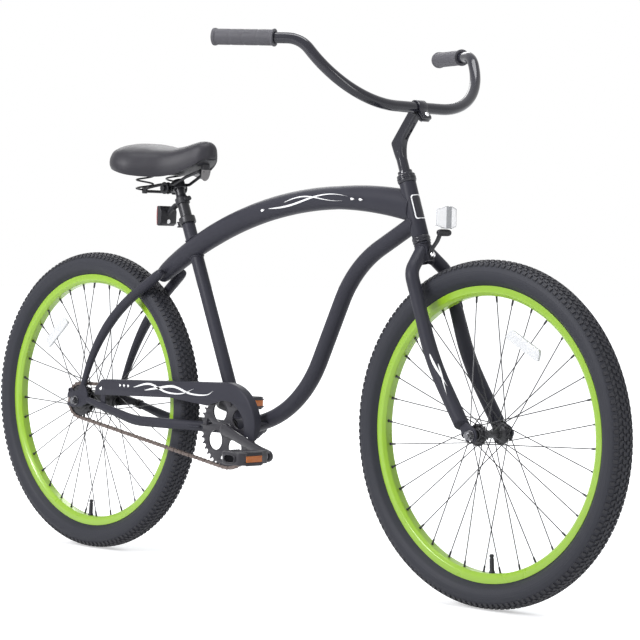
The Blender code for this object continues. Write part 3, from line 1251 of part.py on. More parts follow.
def saddle_frame(tilt):
    axis = tilt_axis()
    jaw = 0.0135
    near = RAIL_HALF_SPACING - RAIL_RADIUS - GAP
    far = RAIL_HALF_SPACING + RAIL_RADIUS + GAP
    bolt = TILT_BOLT_RADIUS
    profile = [(0, -0.0340), (0.0062, -0.0340), (0.0062, -0.0290), (jaw, -0.0290), (jaw, -far),
               (bolt, -far), (bolt, -near), (jaw, -near), (jaw, -0.0153), (bolt, -0.0153)]
    profile += [(r, -y) for r, y in reversed(profile)]
    body("saddle_clamp_jaws", turned(profile, axis, ACROSS, 8), "black_steel", tilt)

    points = rail_path()[:-1]
    radii = [RAIL_RADIUS] * len(points)
    rings = rings_along(points, radii, radii, 5, Vector((0, 0, 1)), looped=True)
    rails = body("saddle_rails", skin(bmesh.new(), rings, looped=True), "black_steel", tilt)
    for name, side in SIDES:
        foot = spring_foot(side)
        bolt = rod(SPRING_BOLT_RADIUS, foot - Vector((0, 0, 0.0085)), foot + Vector((0, 0, 0.0050)), 8)
        add(rails, tool(f"spring_bolt_{name}", bolt))
        run = spring_points(side)
        coil = tube(run, SPRING_WIRE_RADIUS, 6, Vector((0.2, 0, 1)))
        body(f"saddle_spring_{name}", coil, "black_steel", tilt)
        print(f"saddle_spring_{name}: least gap to itself {least_gap(run) * 1000:.2f} mm")


def spring_foot(side):
    # Where the rail turns across behind the saddle: the bolt and the coil centre on it.
    return Vector(max(rail_path(), key=lambda point: (round(side * point.y, 5), -point.x)))


def spring_points(side):
    # Out square from the bolt, round in a coil, then straight up to the pan.
    foot = spring_foot(side)
    start = SPRING_BOLT_RADIUS * cos(pi / 8) + GAP
    high = tilt_axis().z + PAN_LIFT - GAP - foot.z
    flat = [(start, 0.0, 0.0), (start + 2 * SPRING_WIRE_RADIUS, 0.0, 0.0),
            (0.0142, 0.0008, 0.0004), (0.0170, 0.0036, 0.0010)]
    steps = int(SPRING_TURNS * SPRING_STEPS)
    first = radians(22)
    low = 0.0018
    rise = high - 0.0075
    for step in range(steps + 1):
        share = step / steps
        angle = first + 2 * pi * SPRING_TURNS * share
        flat.append((SPRING_COIL_RADIUS * cos(angle), SPRING_COIL_RADIUS * sin(angle),
                     low + (rise - low) * share))
    out, along, up = flat[-1]
    angle = first + 2 * pi * SPRING_TURNS
    ahead = (-sin(angle), cos(angle))
    flat.append((out + ahead[0] * 0.0024, along + ahead[1] * 0.0024, up + 0.0016))
    flat.append((out + ahead[0] * 0.0032, along + ahead[1] * 0.0032, up + 0.0035))
    flat.append((out + ahead[0] * 0.0032, along + ahead[1] * 0.0032, high))
    return [foot + Vector((-along, side * out, up)) for out, along, up in flat]


def least_gap(run):
    # Between the walls of stretches of wire that lie over four diameters apart along it.
    spacing = SPRING_WIRE_RADIUS / 2
    points = []
    for first, second in zip(run, run[1:]):
        count = max(1, round((second - first).length / spacing))
        points += [first.lerp(second, step / count) for step in range(count)]
    apart = int(8 * SPRING_WIRE_RADIUS / spacing)
    least = min((points[j] - points[i]).length
                for i in range(len(points)) for j in range(i + apart, len(points)))
    return least - 2 * SPRING_WIRE_RADIUS


def underside(skirt):
    return max(PAN_LIFT + PAN_THICKNESS + GAP, skirt + 0.0060)


def cushion_ring(ahead, half, top, skirt):
    # The section from the crown round the side, under the lip and into the recess.
    under = underside(skirt)
    bulge = top - skirt
    section = [(0.0, top), (0.34, top - 0.03 * bulge), (0.66, top - 0.14 * bulge),
               (0.89, top - 0.34 * bulge), (1.0, top - 0.62 * bulge), (0.985, skirt + 0.10 * bulge),
               (0.94, skirt), (0.86, skirt + 0.001), (0.82, under), (0.0, under)]
    axis = tilt_axis()
    right = [axis + Vector((ahead, -half * share, z)) for share, z in section]
    left = [axis + Vector((ahead, half * share, z)) for share, z in reversed(section[1:-1])]
    return right + left


def saddle(top):
    axis = tilt_axis()
    rings = [cushion_ring(*station) for station in SADDLE_STATIONS]
    body("saddle_cover", skin(bmesh.new(), rings), "saddle_vinyl", top, 50)
    rings = []
    for ahead, half, _, skirt in SADDLE_STATIONS[1:-2]:
        edge = half * 0.82 - 0.0015
        high = underside(skirt) - GAP
        low = high - PAN_THICKNESS
        corners = ((-edge, low), (edge, low), (edge, high), (-edge, high))
        rings.append([axis + Vector((ahead, y, z)) for y, z in corners])
    pan = body("saddle_pan", skin(bmesh.new(), rings), "black_plastic", top)

    nose = nose_point()
    skirt_above = min(SADDLE_STATIONS, key=lambda station: abs(station[0] - NOSE_AHEAD))[3]
    tab_top = axis.z + underside(skirt_above) - GAP - PAN_THICKNESS / 2
    tab = block((nose.x + 0.0065, -0.0080, nose.z - 0.0200), (nose.x + 0.0095, 0.0080, tab_top))
    ends = (nose - ACROSS * 0.0055, nose + ACROSS * 0.0055)
    hook = sleeve(RAIL_RADIUS + 0.0038, RAIL_RADIUS + GAP, *ends, 12)
    add(pan, tool("saddle_tab", tab), tool("saddle_hook", hook))


# Assembly

def build():
    clear_scene()
    frame = pivot("frame_origin", Vector())
    crank_pivot = pivot("crank_axis", CRANK, frame)
    rear_wheel = pivot("rear_wheel_axis", REAR_AXLE, frame)
    cog_pivot = pivot("rear_sprocket_axis", REAR_AXLE, frame)
    fork = pivot("steering_axis", steer_point(0, 0, HEAD_TUBE_BOTTOM), frame)
    front_wheel = pivot("front_wheel_axis", FRONT_AXLE, fork)
    stem_pivot = pivot("stem_axis", steer_point(0, 0, BAR_HEIGHT), fork)
    bar_pivot = pivot("handlebar_axis", steer_point(BAR_REACH, 0, BAR_HEIGHT), stem_pivot)
    post = pivot("seat_post_axis", seat_point(0, 0, SEAT_TUBE_LENGTH), frame)
    tilt = pivot("saddle_tilt_axis", tilt_axis(), post)
    saddle_top = pivot("saddle_spring_axis", nose_point(), tilt)

    mitre_shell, mitre_top = frame_tubes(frame)
    rear_stays(frame, mitre_shell, mitre_top)
    stay_bridge(frame)
    seat_collar(frame)
    bracket_cups(frame)
    chain_guard(frame)
    brake_arm(frame)
    body("chain", chain_mesh(), "bronze_chain", frame)

    wheel_parts("front", FRONT_AXLE, FRONT_HUB, front_wheel, radians(-87))
    wheel_parts("rear", REAR_AXLE, REAR_HUB, rear_wheel, radians(-93))
    half = FRONT_DROPOUT_THICKNESS / 2
    axle_and_nuts("front", FRONT_AXLE, 0.0680, LEG_HALF_SPAN - half, LEG_HALF_SPAN + half,
                  (FRONT_HUB[4] + RUNNING, FRONT_HUB[4] + RUNNING), fork)
    half = REAR_DROPOUT_THICKNESS / 2
    axle_and_nuts("rear", REAR_AXLE, 0.0740, REAR_DROPOUT_Y - half, REAR_DROPOUT_Y + half,
                  (0.0505 + RUNNING, BRAKE_ARM_Y + 0.0022 + GAP), frame)
    rear_sprocket(cog_pivot)
    crank_set(crank_pivot)
    for name, side in SIDES:
        pedal_pivot = pivot(f"pedal_axis_{name}", pedal_centre(side), crank_pivot)
        pedal(name, side, pedal_pivot, crank_pivot)

    headset(frame, fork)
    fork_parts(fork)
    stem_and_bar(stem_pivot, bar_pivot)
    front_reflector(fork)
    seat_post(post)
    rear_reflector(post)
    saddle_frame(tilt)
    saddle(saddle_top)


build()
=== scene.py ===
import math
import bmesh
import bpy
import numpy as np
from mathutils import Matrix, Vector


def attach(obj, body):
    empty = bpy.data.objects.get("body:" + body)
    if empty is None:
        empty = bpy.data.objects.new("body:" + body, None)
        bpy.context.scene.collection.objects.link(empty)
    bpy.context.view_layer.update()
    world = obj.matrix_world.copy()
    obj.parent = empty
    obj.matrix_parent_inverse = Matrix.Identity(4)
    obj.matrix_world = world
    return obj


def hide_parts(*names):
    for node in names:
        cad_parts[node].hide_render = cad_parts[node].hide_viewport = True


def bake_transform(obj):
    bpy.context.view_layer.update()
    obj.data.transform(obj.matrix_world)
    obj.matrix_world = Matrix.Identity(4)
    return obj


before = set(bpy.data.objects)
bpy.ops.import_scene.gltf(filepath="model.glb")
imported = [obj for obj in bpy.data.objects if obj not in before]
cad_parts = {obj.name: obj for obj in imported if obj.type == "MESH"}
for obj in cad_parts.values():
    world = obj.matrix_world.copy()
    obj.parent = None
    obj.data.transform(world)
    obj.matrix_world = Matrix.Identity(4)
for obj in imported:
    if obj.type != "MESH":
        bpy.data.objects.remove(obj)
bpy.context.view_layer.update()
print("frame loaded:", len(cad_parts), "nodes")

# The bicycle's own lines: the ground is z = 0 and the chain is on the right, at -y
layout = dict(wheelBase=1.190, tyreRadius=0.336, headTilt=math.radians(19.7), forkRake=0.0515,
              crank=(-0.099560, 0.0, 0.301200), seatTilt=math.radians(22.63), setback=0.0063,
              chainPitch=0.0127, ringTeeth=40, cogTeeth=19, links=108, chainLine=0.0455)
across = np.array([0.0, 1.0, 0.0])
aloft = np.array([0.0, 0.0, 1.0])
rearAxle = np.array([-layout["wheelBase"] / 2, 0, layout["tyreRadius"]])
frontAxle = np.array([layout["wheelBase"] / 2, 0, layout["tyreRadius"]])
crankCentre = np.array(layout["crank"])
sides = (("left", 1), ("right", -1))


# Surfaces

def unit(vectors):
    vectors = np.asarray(vectors, float)
    return vectors / np.maximum(np.linalg.norm(vectors, axis=-1, keepdims=True), 1e-12)


def turnPoints(radius, angles):
    # points of a circle in the plane of the wheels: x = r cos a, z = r sin a
    return np.stack([radius * np.cos(angles), np.zeros_like(angles), radius * np.sin(angles)], -1)


def heading(angle):
    return turnPoints(1.0, np.array([angle]))[0]


def circleOutline(centre, radius, steps=40):
    return (turnPoints(radius, np.linspace(0, 2 * math.pi, steps, endpoint=False)) + centre)[:, [0, 2]]


steerUp, steerAhead = heading(layout["headTilt"] + math.pi / 2), heading(layout["headTilt"])
steerFoot = frontAxle - steerAhead * layout["forkRake"]
seatUp, seatAhead = heading(layout["seatTilt"] + math.pi / 2), heading(layout["seatTilt"])
seatFoot = crankCentre - seatAhead * layout["setback"]


def steerPoint(ahead, side, up):
    return steerFoot + steerAhead * ahead + across * side + steerUp * up


def seatPoint(ahead, side, up):
    return seatFoot + seatAhead * ahead + across * side + seatUp * up


def spread(centre, near, far):
    # two points at these distances across the bicycle from a centre
    return centre + across * near, centre + across * far


def lengthAlong(path):
    return np.r_[0, np.cumsum(np.linalg.norm(np.diff(path, axis=0), axis=1))]


def evenly(path, spacing):
    # the same polyline read at equal steps of its own length
    path = np.asarray(path, float)
    length = lengthAlong(path)
    marks = np.linspace(0, length[-1], max(3, int(round(length[-1] / spacing)) + 1))
    return np.stack([np.interp(marks, length, path[:, k]) for k in range(path.shape[1])], -1)


def roundedPath(corners, radii, spacing=0.004, steps=24):
    # straight runs with a circular arc of the given radius at each inner corner
    corners = [np.asarray(corner, float) for corner in corners]
    points = [corners[0]]
    share = np.linspace(0, 1, steps + 1)[:, None]
    for index, radius in enumerate(radii, 1):
        corner = corners[index]
        before, after = unit(corners[index - 1] - corner), unit(corners[index + 1] - corner)
        opening = math.acos(float(np.clip(before @ after, -1, 1)))
        centre = corner + unit(before + after) * radius / math.sin(opening / 2)
        reach, sweep = radius / math.tan(opening / 2), math.pi - opening
        start, end = corner + before * reach - centre, corner + after * reach - centre
        turned = start * np.sin((1 - share) * sweep) + end * np.sin(share * sweep)
        points.extend(centre + turned / math.sin(sweep))
    return evenly(points + [corners[-1]], spacing)


def through(points, count):
    # a smooth curve through the points: cubic with the Catmull-Rom tangents
    points = np.asarray(points, float)
    padded = np.vstack([2 * points[0] - points[1], points, 2 * points[-1] - points[-2]])
    place = np.linspace(0, len(points) - 1 - 1e-9, count)
    low = place.astype(int)
    t = (place - low)[:, None]
    a, b, c, d = (padded[low + k] for k in range(4))
    return 0.5 * (2 * b + (c - a) * t + (2 * a - 5 * b + 4 * c - d) * t**2 + (3 * b - a - 3 * c + d) * t**3)


def along(path, table):
    # values of a table of (share of length, value) pairs at each point of a path
    length = lengthAlong(path)
    return np.interp(length / length[-1], *np.asarray(table, float).T)


def carried(path, profile, wide=across, looped=False):
    # a profile of (sideways, upward) points set square to the path at each of its points
    path, profile = np.asarray(path, float), np.asarray(profile, float)
    ahead = unit(np.roll(path, -1, 0) - np.roll(path, 1, 0) if looped else np.gradient(path, axis=0))
    side = unit(wide - ahead * (ahead @ np.asarray(wide, float))[:, None])
    if profile.ndim == 2:
        profile = np.broadcast_to(profile, (len(path),) + profile.shape)
    return path[:, None] + side[:, None] * profile[..., :1] + np.cross(ahead, side)[:, None] * profile[..., 1:]


def roundSection(widths, depths, count, power=2.0):
    # superellipses: |x/w|^p + |y/d|^p = 1, one for each width and depth
    angle = 2 * math.pi * (np.arange(count) + 0.5) / count
    x, y = (np.sign(wave) * np.abs(wave) ** (2 / power) for wave in (np.cos(angle), np.sin(angle)))
    return np.stack([np.atleast_1d(widths)[:, None] * x, np.atleast_1d(depths)[:, None] * y], -1)


def sheetPart(grid, looped=False, closed=True):
    # quads over a grid of points; rows that don't loop end in fans, columns meet when closed
    rows, columns = grid.shape[:2]
    index = np.arange(rows * columns).reshape(rows, columns)
    here, beside = (index, np.roll(index, -1, 1)) if closed else (index[:, :-1], index[:, 1:])
    if looped:
        quads = np.stack([here, beside, np.roll(beside, -1, 0), np.roll(here, -1, 0)], -1)
    else:
        quads = np.stack([here[:-1], beside[:-1], beside[1:], here[1:]], -1)
    points, faces = [grid.reshape(-1, 3)], quads.reshape(-1, 4).tolist()
    for row, turn in () if looped else ((0, -1), (-1, 1)):
        ring = index[row][::turn]
        tip = np.full(columns, rows * columns + len(points) - 1)
        faces += np.stack([ring, np.roll(ring, -1), tip], -1).tolist()
        points.append(grid[row].mean(0)[None])
    return np.vstack(points), faces


def tubeGrid(path, radius, depth=None, count=48, wide=across, power=2.0, looped=False):
    # rings of a tube whose radius and depth are numbers or tables of (share of length, value)
    sizes = [along(path, size if isinstance(size, list) else [(0, size), (1, size)])
             for size in (radius, depth or radius)]
    return carried(path, roundSection(*sizes, count, power), wide, looped)


def tubePart(path, radius, depth=None, count=32, wide=across, power=2.0, looped=False):
    return sheetPart(tubeGrid(path, radius, depth, count, wide, power, looped), looped)


def softened(profile, radius, steps=3, closed=True):
    # a profile whose corners are cut back by quadratic curves, so that edges catch the light
    profile = np.asarray(profile, float)
    before, after = np.roll(profile, 1, 0), np.roll(profile, -1, 0)
    back = np.linalg.norm(before - profile, axis=1, keepdims=True)
    on = np.linalg.norm(after - profile, axis=1, keepdims=True)
    reach = np.minimum(radius, 0.42 * np.minimum(back, on))
    start = profile + (before - profile) / np.maximum(back, 1e-12) * reach
    end = profile + (after - profile) / np.maximum(on, 1e-12) * reach
    t = np.linspace(0, 1, steps + 1)[:, None, None]
    curve = (1 - t) ** 2 * start + 2 * t * (1 - t) * profile + t**2 * end
    if not closed:
        curve[:, 0], curve[:, -1] = profile[0], profile[-1]
    return curve.transpose(1, 0, 2).reshape(-1, profile.shape[1])


def turnedPart(profile, centre, axis, steps, closed=True, radiusAt=None):
    # a profile of (radius, distance along) pairs spun about an axis
    profile, axis = np.asarray(profile, float), unit(axis)
    side = aloft if abs(axis[1]) > 0.9 else across
    side = unit(side - axis * (side @ axis))
    angle = 2 * math.pi * (np.arange(steps) + 0.5) / steps
    out = np.cos(angle)[:, None] * side + np.sin(angle)[:, None] * np.cross(axis, side)
    radius = radiusAt(angle, profile)[..., None] if radiusAt else profile[None, :, :1]
    return sheetPart(np.asarray(centre, float) + out[:, None] * radius + axis * profile[None, :, 1:], True, closed)


def ringPart(profile, place, axis, steps=56, soft=0.0006, cuts=3):
    # a hollow turned piece with its corners softened
    return turnedPart(softened(profile, soft, cuts), place, axis, steps)


def knobPart(profile, place, axis, steps=32, soft=0.0006, cuts=3):
    # a solid turned piece with its corners softened; the profile starts and ends on the axis
    return turnedPart(softened(profile, soft, cuts, False), place, axis, steps, False)


def rodPart(radius, start, end, steps=24, soft=0.0004):
    line = np.subtract(end, start)
    length = float(np.linalg.norm(line))
    return knobPart([(0, 0), (radius, 0), (radius, length), (0, length)], start, line, steps, soft, 2)


def sleevePart(outer, inner, start, end, steps=48, soft=0.0005):
    line = np.subtract(end, start)
    length = float(np.linalg.norm(line))
    return ringPart([(inner, 0), (outer, 0), (outer, length), (inner, length)], start, line, steps, soft)


def hexRadius(angle, profile):
    # the radius of a hexagon with its corners turned off by a cone at both ends
    flat = profile[None, :, 0] / np.cos((angle[:, None] + math.pi / 6) % (math.pi / 3) - math.pi / 6)
    low, high = profile[:, 1].min(), profile[:, 1].max()
    room = np.minimum(profile[:, 1] - low, high - profile[:, 1])
    return np.minimum(flat, profile[None, :, 0] * 1.06 + room[None] * 1.7)


def hexPart(acrossFlats, start, end, bore=0.0):
    # a nut or a bolt head: six flats with turned corners
    line = np.subtract(end, start)
    length = float(np.linalg.norm(line))
    levels = [0, 0.0003, 0.0008, length / 2, length - 0.0008, length - 0.0003, length]
    profile = [(bore, 0)] + [(acrossFlats / 2, level) for level in levels] + [(bore, length)]
    return turnedPart(profile, start, line, 48, bore > 0, hexRadius)


def newItem(name, data):
    item = bpy.data.objects.new(name, data)
    bpy.context.scene.collection.objects.link(item)
    return item


def flatPart(outlines, near, far, bevel):
    # outlines of (x, z) points, the inner ones holes, given a thickness across the bicycle
    curve = bpy.data.curves.new("outline", "CURVE")
    curve.dimensions = "2D"
    curve.fill_mode = "BOTH"
    curve.extrude = abs(far - near) / 2 - bevel
    curve.bevel_depth = bevel
    curve.bevel_resolution = 1
    curve.offset = -bevel
    for outline in outlines:
        line = curve.splines.new("POLY")
        line.points.add(len(outline) - 1)
        flat = np.c_[np.asarray(outline, float), np.zeros(len(outline)), np.ones(len(outline))]
        line.points.foreach_set("co", flat.ravel())
        line.use_cyclic_u = True
    item = newItem("outline", curve)
    bpy.context.view_layer.update()
    mesh = bpy.data.meshes.new_from_object(item.evaluated_get(bpy.context.evaluated_depsgraph_get()))
    points = np.zeros(len(mesh.vertices) * 3)
    mesh.vertices.foreach_get("co", points)
    x, z, y = points.reshape(-1, 3).T
    faces = [list(face.vertices) for face in mesh.polygons]
    bpy.data.objects.remove(item)
    bpy.data.curves.remove(curve)
    bpy.data.meshes.remove(mesh)
    return np.stack([x, (near + far) / 2 - y, z], -1), faces


def blockPart(low, high, bevel=0.0008):
    # a box with its edges cut, as a flat plate of its own outline
    low, high = np.minimum(low, high), np.maximum(low, high)
    outline = softened([(low[0], low[2]), (high[0], low[2]), (high[0], high[2]), (low[0], high[2])], bevel)
    return flatPart([outline], low[1], high[1], min(bevel, (high[1] - low[1]) * 0.3))


def placed(part, origin, xAxis, yAxis):
    # local x, y and z laid along two given directions and their cross product
    return part[0] @ np.stack([xAxis, yAxis, np.cross(xAxis, yAxis)]) + origin, part[1]


def pliesPart(outer, inner):
    # a thin wall between two grids of the same size, closed along all four borders
    shift = outer.shape[0] * outer.shape[1]
    index = np.arange(shift).reshape(outer.shape[:2])
    quads = np.stack([index[:-1, :-1], index[:-1, 1:], index[1:, 1:], index[1:, :-1]], -1).reshape(-1, 4)
    border = np.concatenate([index[0], index[1:, -1], index[-1, -2::-1], index[-2:0:-1, 0]])
    after = np.roll(border, -1)
    walls = np.stack([border, after, after + shift, border + shift], -1)
    points = np.vstack([outer.reshape(-1, 3), inner.reshape(-1, 3)])
    return points, quads.tolist() + (quads[:, ::-1] + shift).tolist() + walls.tolist()


def addPiece(name, parts, body, finish, replaces=(), smooth=32, bend=None):
    # one object from several parts, in place, with its seams and poles closed;
    # when bend is given, the piece is left unattached in place, and the second body and points it holds are not
    # used
    points, faces, count = [], [], 0
    for part in parts:
        points.append(part[0])
        faces += [[corner + count for corner in face] for face in part[1]]
        count += len(part[0])
    mesh = bpy.data.meshes.new(name)
    mesh.from_pydata(np.vstack(points).tolist(), [], faces)
    work = bmesh.new()
    work.from_mesh(mesh)
    bmesh.ops.remove_doubles(work, verts=work.verts, dist=2e-6)
    bmesh.ops.dissolve_degenerate(work, edges=work.edges, dist=1e-7)
    bmesh.ops.recalc_face_normals(work, faces=work.faces)
    work.to_mesh(mesh)
    work.free()
    mesh.shade_smooth()
    mesh.set_sharp_from_angle(angle=math.radians(smooth))
    mesh.materials.append(finish)
    item = newItem(name, mesh)
    if bend:
        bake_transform(item)
    else:
        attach(item, body)
    if replaces:
        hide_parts(*replaces)
    return item


# Finishes: node groups first, each built once

def fill(tree, node, values):
    # a socket among the values is linked to the input, anything else is written into it
    for label, value in values.items():
        if isinstance(value, bpy.types.NodeSocket):
            tree.links.new(value, node.inputs[label])
        else:
            node.inputs[label].default_value = value


def put(tree, kind, values=None, **settings):
    # a new node's outputs, once its settings are made and its inputs filled
    node = tree.nodes.new("ShaderNode" + kind)
    for label, value in settings.items():
        setattr(node, label, value)
    fill(tree, node, values or {})
    return node.outputs


def mathNode(tree, operation, *values):
    return put(tree, "Math", dict(enumerate(values)), operation=operation)[0]


def newGroup(name, inputs, outputs):
    # the type of an input follows its first value, and None stands for a vector
    group = bpy.data.node_groups.new(name, "ShaderNodeTree")
    kinds = {type(None): "Vector", tuple: "Color", float: "Float"}
    for label, value in inputs.items():
        kind = "NodeSocket" + kinds[type(value)]
        socket = group.interface.new_socket(name=label, in_out="INPUT", socket_type=kind)
        if value is not None:
            socket.default_value = value
    for label in outputs:
        kind = "NodeSocketColor" if label == "Colour" else "NodeSocketFloat"
        group.interface.new_socket(name=label, in_out="OUTPUT", socket_type=kind)
    return group, group.nodes.new("NodeGroupInput").outputs, group.nodes.new("NodeGroupOutput")


def makeEnamelGroup():
    # cloudy shade, roughness drift and a fine peel, all from object coordinates
    group, given, end = newGroup(
        "enamelSurface", {"Vector": None, "Colour": (0.1, 0.1, 0.1, 1), "Shade": 0.08, "Roughness": 0.4,
                          "Drift": 0.06, "Peel Scale": 700.0}, ("Colour", "Roughness", "Height"))
    cloud = put(group, "TexNoise", dict(Vector=given["Vector"], Scale=14.0, Detail=5.0))["Fac"]
    peel = put(group, "TexNoise", dict(Vector=given["Vector"], Scale=given["Peel Scale"], Detail=3.0))["Fac"]
    swing = mathNode(group, "SUBTRACT", cloud, 0.5)
    grains = mathNode(group, "SUBTRACT", peel, 0.5)
    both = mathNode(group, "ADD", swing, mathNode(group, "MULTIPLY", grains, 0.6))
    factor = mathNode(group, "MULTIPLY_ADD", both, mathNode(group, "MULTIPLY", given["Shade"], 2.0), 1.0)
    shade = put(group, "VectorMath", {0: given["Colour"], "Scale": factor}, operation="SCALE")[0]
    rough = mathNode(group, "MULTIPLY_ADD", swing, given["Drift"], given["Roughness"])
    fill(group, end, dict(Colour=shade, Roughness=rough, Height=peel))
    return group


def makeGrainGroup():
    # hide or moulded grain: rounded cells with creases between them, and fine pores
    group, given, end = newGroup("grainRelief", {"Vector": None, "Cell Scale": 900.0, "Pores": 0.25},
                                 ("Height", "CreaseShade"))
    size = given["Cell Scale"]
    cells = put(group, "TexVoronoi", dict(Vector=given["Vector"], Scale=size), feature="DISTANCE_TO_EDGE")
    pores = put(group, "TexNoise", dict(Vector=given["Vector"], Scale=mathNode(group, "MULTIPLY", size, 2.5),
                                        Detail=4.0))["Fac"]
    dome = mathNode(group, "MINIMUM", mathNode(group, "MULTIPLY", cells["Distance"], 4.0), 1.0)
    fine = mathNode(group, "MULTIPLY", pores, given["Pores"])
    # the second output marks the creases between the cells, which the grained finishes darken as painted shade
    fill(group, end, dict(Height=mathNode(group, "ADD", mathNode(group, "POWER", dome, 0.5), fine),
                          CreaseShade=mathNode(group, "SUBTRACT", 1.0, dome)))
    return group


def makePrismGroup():
    # reflector relief: small square pyramids turned by an eighth, in object coordinates
    group, given, end = newGroup("prismRelief", {"Vector": None, "Scale": 420.0}, ("Height", "FacetShade"))
    size = put(group, "VectorMath", {0: given["Vector"], "Scale": given["Scale"]}, operation="SCALE")[0]
    split = put(group, "SeparateXYZ", {0: size})
    level = mathNode(group, "ADD", split["X"], split["Y"])
    first, second = (mathNode(group, "PINGPONG", mathNode(group, operation, level, split["Z"]), 0.5)
                     for operation in ("ADD", "SUBTRACT"))
    # the second output ramps across one side of each pyramid; the lenses darken their colour by it as painted facet
    # shade
    fill(group, end, dict(Height=mathNode(group, "ADD", first, second),
                          FacetShade=mathNode(group, "MULTIPLY", first, 2.0)))
    return group


enamelGroup, grainGroup, prismGroup = makeEnamelGroup(), makeGrainGroup(), makePrismGroup()


def useGroup(tree, group, place, **values):
    values = {label.replace("_", " "): value for label, value in values.items()}
    return put(tree, "Group", dict(values, Vector=place), node_tree=group)


def solid(colour, share=1.0):
    return (*(value * share for value in colour), 1)


def colourMix(tree, factor, first, second):
    # the colour inputs of a Mix node share their names with other types, so they go by index
    return put(tree, "Mix", {0: factor, 6: first, 7: second}, data_type="RGBA")[2]


def bumpNode(tree, height, distance):
    return put(tree, "Bump", dict(Strength=1.0, Distance=distance, Height=height))["Normal"]


def newMaterial(name, slot=None):
    material = bpy.data.materials.new(name)
    material.use_nodes = True
    if slot:
        material["slot"] = slot
    tree = material.node_tree
    return material, tree, tree.nodes["Principled BSDF"], put(tree, "TexCoord")["Object"]


def enamel(name, slot, colour, roughness, shade, drift, peel=700.0, bump=0.00003, metallic=0.0, coat=0.0,
           coatRoughness=0.1, specular=0.5):
    material, tree, shader, place = newMaterial(name, slot)
    surface = useGroup(tree, enamelGroup, place, Colour=solid(colour), Shade=shade, Roughness=roughness,
                       Drift=drift, Peel_Scale=peel)
    fill(tree, shader, {
        "Base Color": surface["Colour"], "Roughness": surface["Roughness"], "Metallic": metallic,
        "Normal": bumpNode(tree, surface["Height"], bump), "Coat Weight": coat,
        "Coat Roughness": coatRoughness, "Specular IOR Level": specular})
    return material


def grained(name, slot, colour, roughness, cell, bump, pores, creaseShade):
    # rubber, vinyl and moulded plastic: enamel's clouding over a hide-like relief, with painted shade in the
    # creases between its cells
    material, tree, shader, place = newMaterial(name, slot)
    surface = useGroup(tree, enamelGroup, place, Colour=solid(colour), Shade=0.10, Roughness=roughness,
                       Drift=0.10, Peel_Scale=cell)
    relief = useGroup(tree, grainGroup, place, Cell_Scale=cell, Pores=pores)
    # painted shade: the colour darkens towards 0.45 of itself in the creases between the grain cells
    creaseShadeMask = mathNode(tree, "MULTIPLY", relief["CreaseShade"], creaseShade)
    fill(tree, shader, {
        "Base Color": colourMix(tree, creaseShadeMask, surface["Colour"], solid(colour, 0.45)),
        "Roughness": surface["Roughness"], "Normal": bumpNode(tree, relief["Height"], bump),
        "Specular IOR Level": 0.28})
    return material


def lens(name, slot, colour, transmission, scale, bump=0.0006, roughness=0.08, paintedGlow=0.0):
    # a painted glow: the lens's own colour is emitted, standing in for the light the prisms send back, whatever the
    # side it comes from
    material, tree, shader, place = newMaterial(name, slot)
    relief = useGroup(tree, prismGroup, place, Scale=scale)
    fill(tree, shader, {
        # painted facet shade: the colour is darkened to 0.62 of itself across each prism face
        "Base Color": colourMix(tree, relief["FacetShade"], solid(colour, 0.62), solid(colour)),
        "Normal": bumpNode(tree, relief["Height"], bump), "Roughness": roughness,
        "Transmission Weight": transmission, "IOR": 1.49, "Coat Weight": 0.6 if paintedGlow else 0.1,
        "Emission Color": solid(colour), "Emission Strength": paintedGlow})
    return material


charcoal = enamel("charcoalEnamel", "charcoal_paint", (0.031, 0.031, 0.040), 0.42, 0.05, 0.08, 900.0, 0.00004,
                  specular=0.12)
glossBlack = enamel("blackGlossEnamel", "gloss_black", (0.018, 0.018, 0.025), 0.15, 0.05, 0.06, 260.0, 0.00002,
                    coat=0.12, coatRoughness=0.08, specular=0.3)
blackSteel = enamel("blackCoatedSteel", "black_steel", (0.019, 0.019, 0.022), 0.32, 0.10, 0.12, 1200.0,
                    metallic=0.1, specular=0.35)
crankBlack = enamel("crankEnamel", "black_steel", (0.021, 0.020, 0.025), 0.30, 0.06, 0.10, specular=0.35)
zinc = enamel("zincPlate", "zinc_steel", (0.72, 0.72, 0.73), 0.24, 0.08, 0.14, 1500.0, 0.00002, metallic=1.0)
lime = enamel("limeEnamel", "lime_rim", (0.250, 0.435, 0.018), 0.28, 0.03, 0.06, 500.0, 0.00002, coat=0.35)
spokeBlack = enamel("spokeBlack", "black_steel", (0.030, 0.030, 0.033), 0.30, 0.05, 0.05, 900.0, 0.00001,
                    metallic=0.4)
chainSteel = enamel("oiledChainSteel", "bronze_chain", (0.135, 0.108, 0.098), 0.33, 0.35, 0.2, 420.0, 0.00004,
                    metallic=0.75)
darkZinc = enamel("darkZincPlate", "zinc_steel", (0.16, 0.16, 0.17), 0.28, 0.10, 0.14, 1500.0, 0.00002,
                  metallic=0.9)
whiteInk = enamel("whiteInk", "charcoal_paint", (0.80, 0.80, 0.80), 0.42, 0.03, 0.05, 900.0, 0.00001)
greyMoulding = enamel("greyMoulding", "saddle_vinyl", (0.20, 0.19, 0.19), 0.45, 0.08, 0.10)
tyreSide = grained("tyreSidewall", "tyre_rubber", (0.020, 0.021, 0.028), 0.58, 700.0, 0.00006, 0.5, 0.1)
tyreTread = grained("tyreTread", "tyre_rubber", (0.026, 0.026, 0.031), 0.56, 520.0, 0.00010, 0.6, 0.3)
gripRubber = grained("gripRubber", "grip_rubber", (0.080, 0.078, 0.088), 0.50, 900.0, 0.00008, 0.4, 0.25)
saddleVinyl = grained("saddleVinyl", "saddle_vinyl", (0.020, 0.019, 0.024), 0.45, 620.0, 0.00008, 0.2, 0.05)
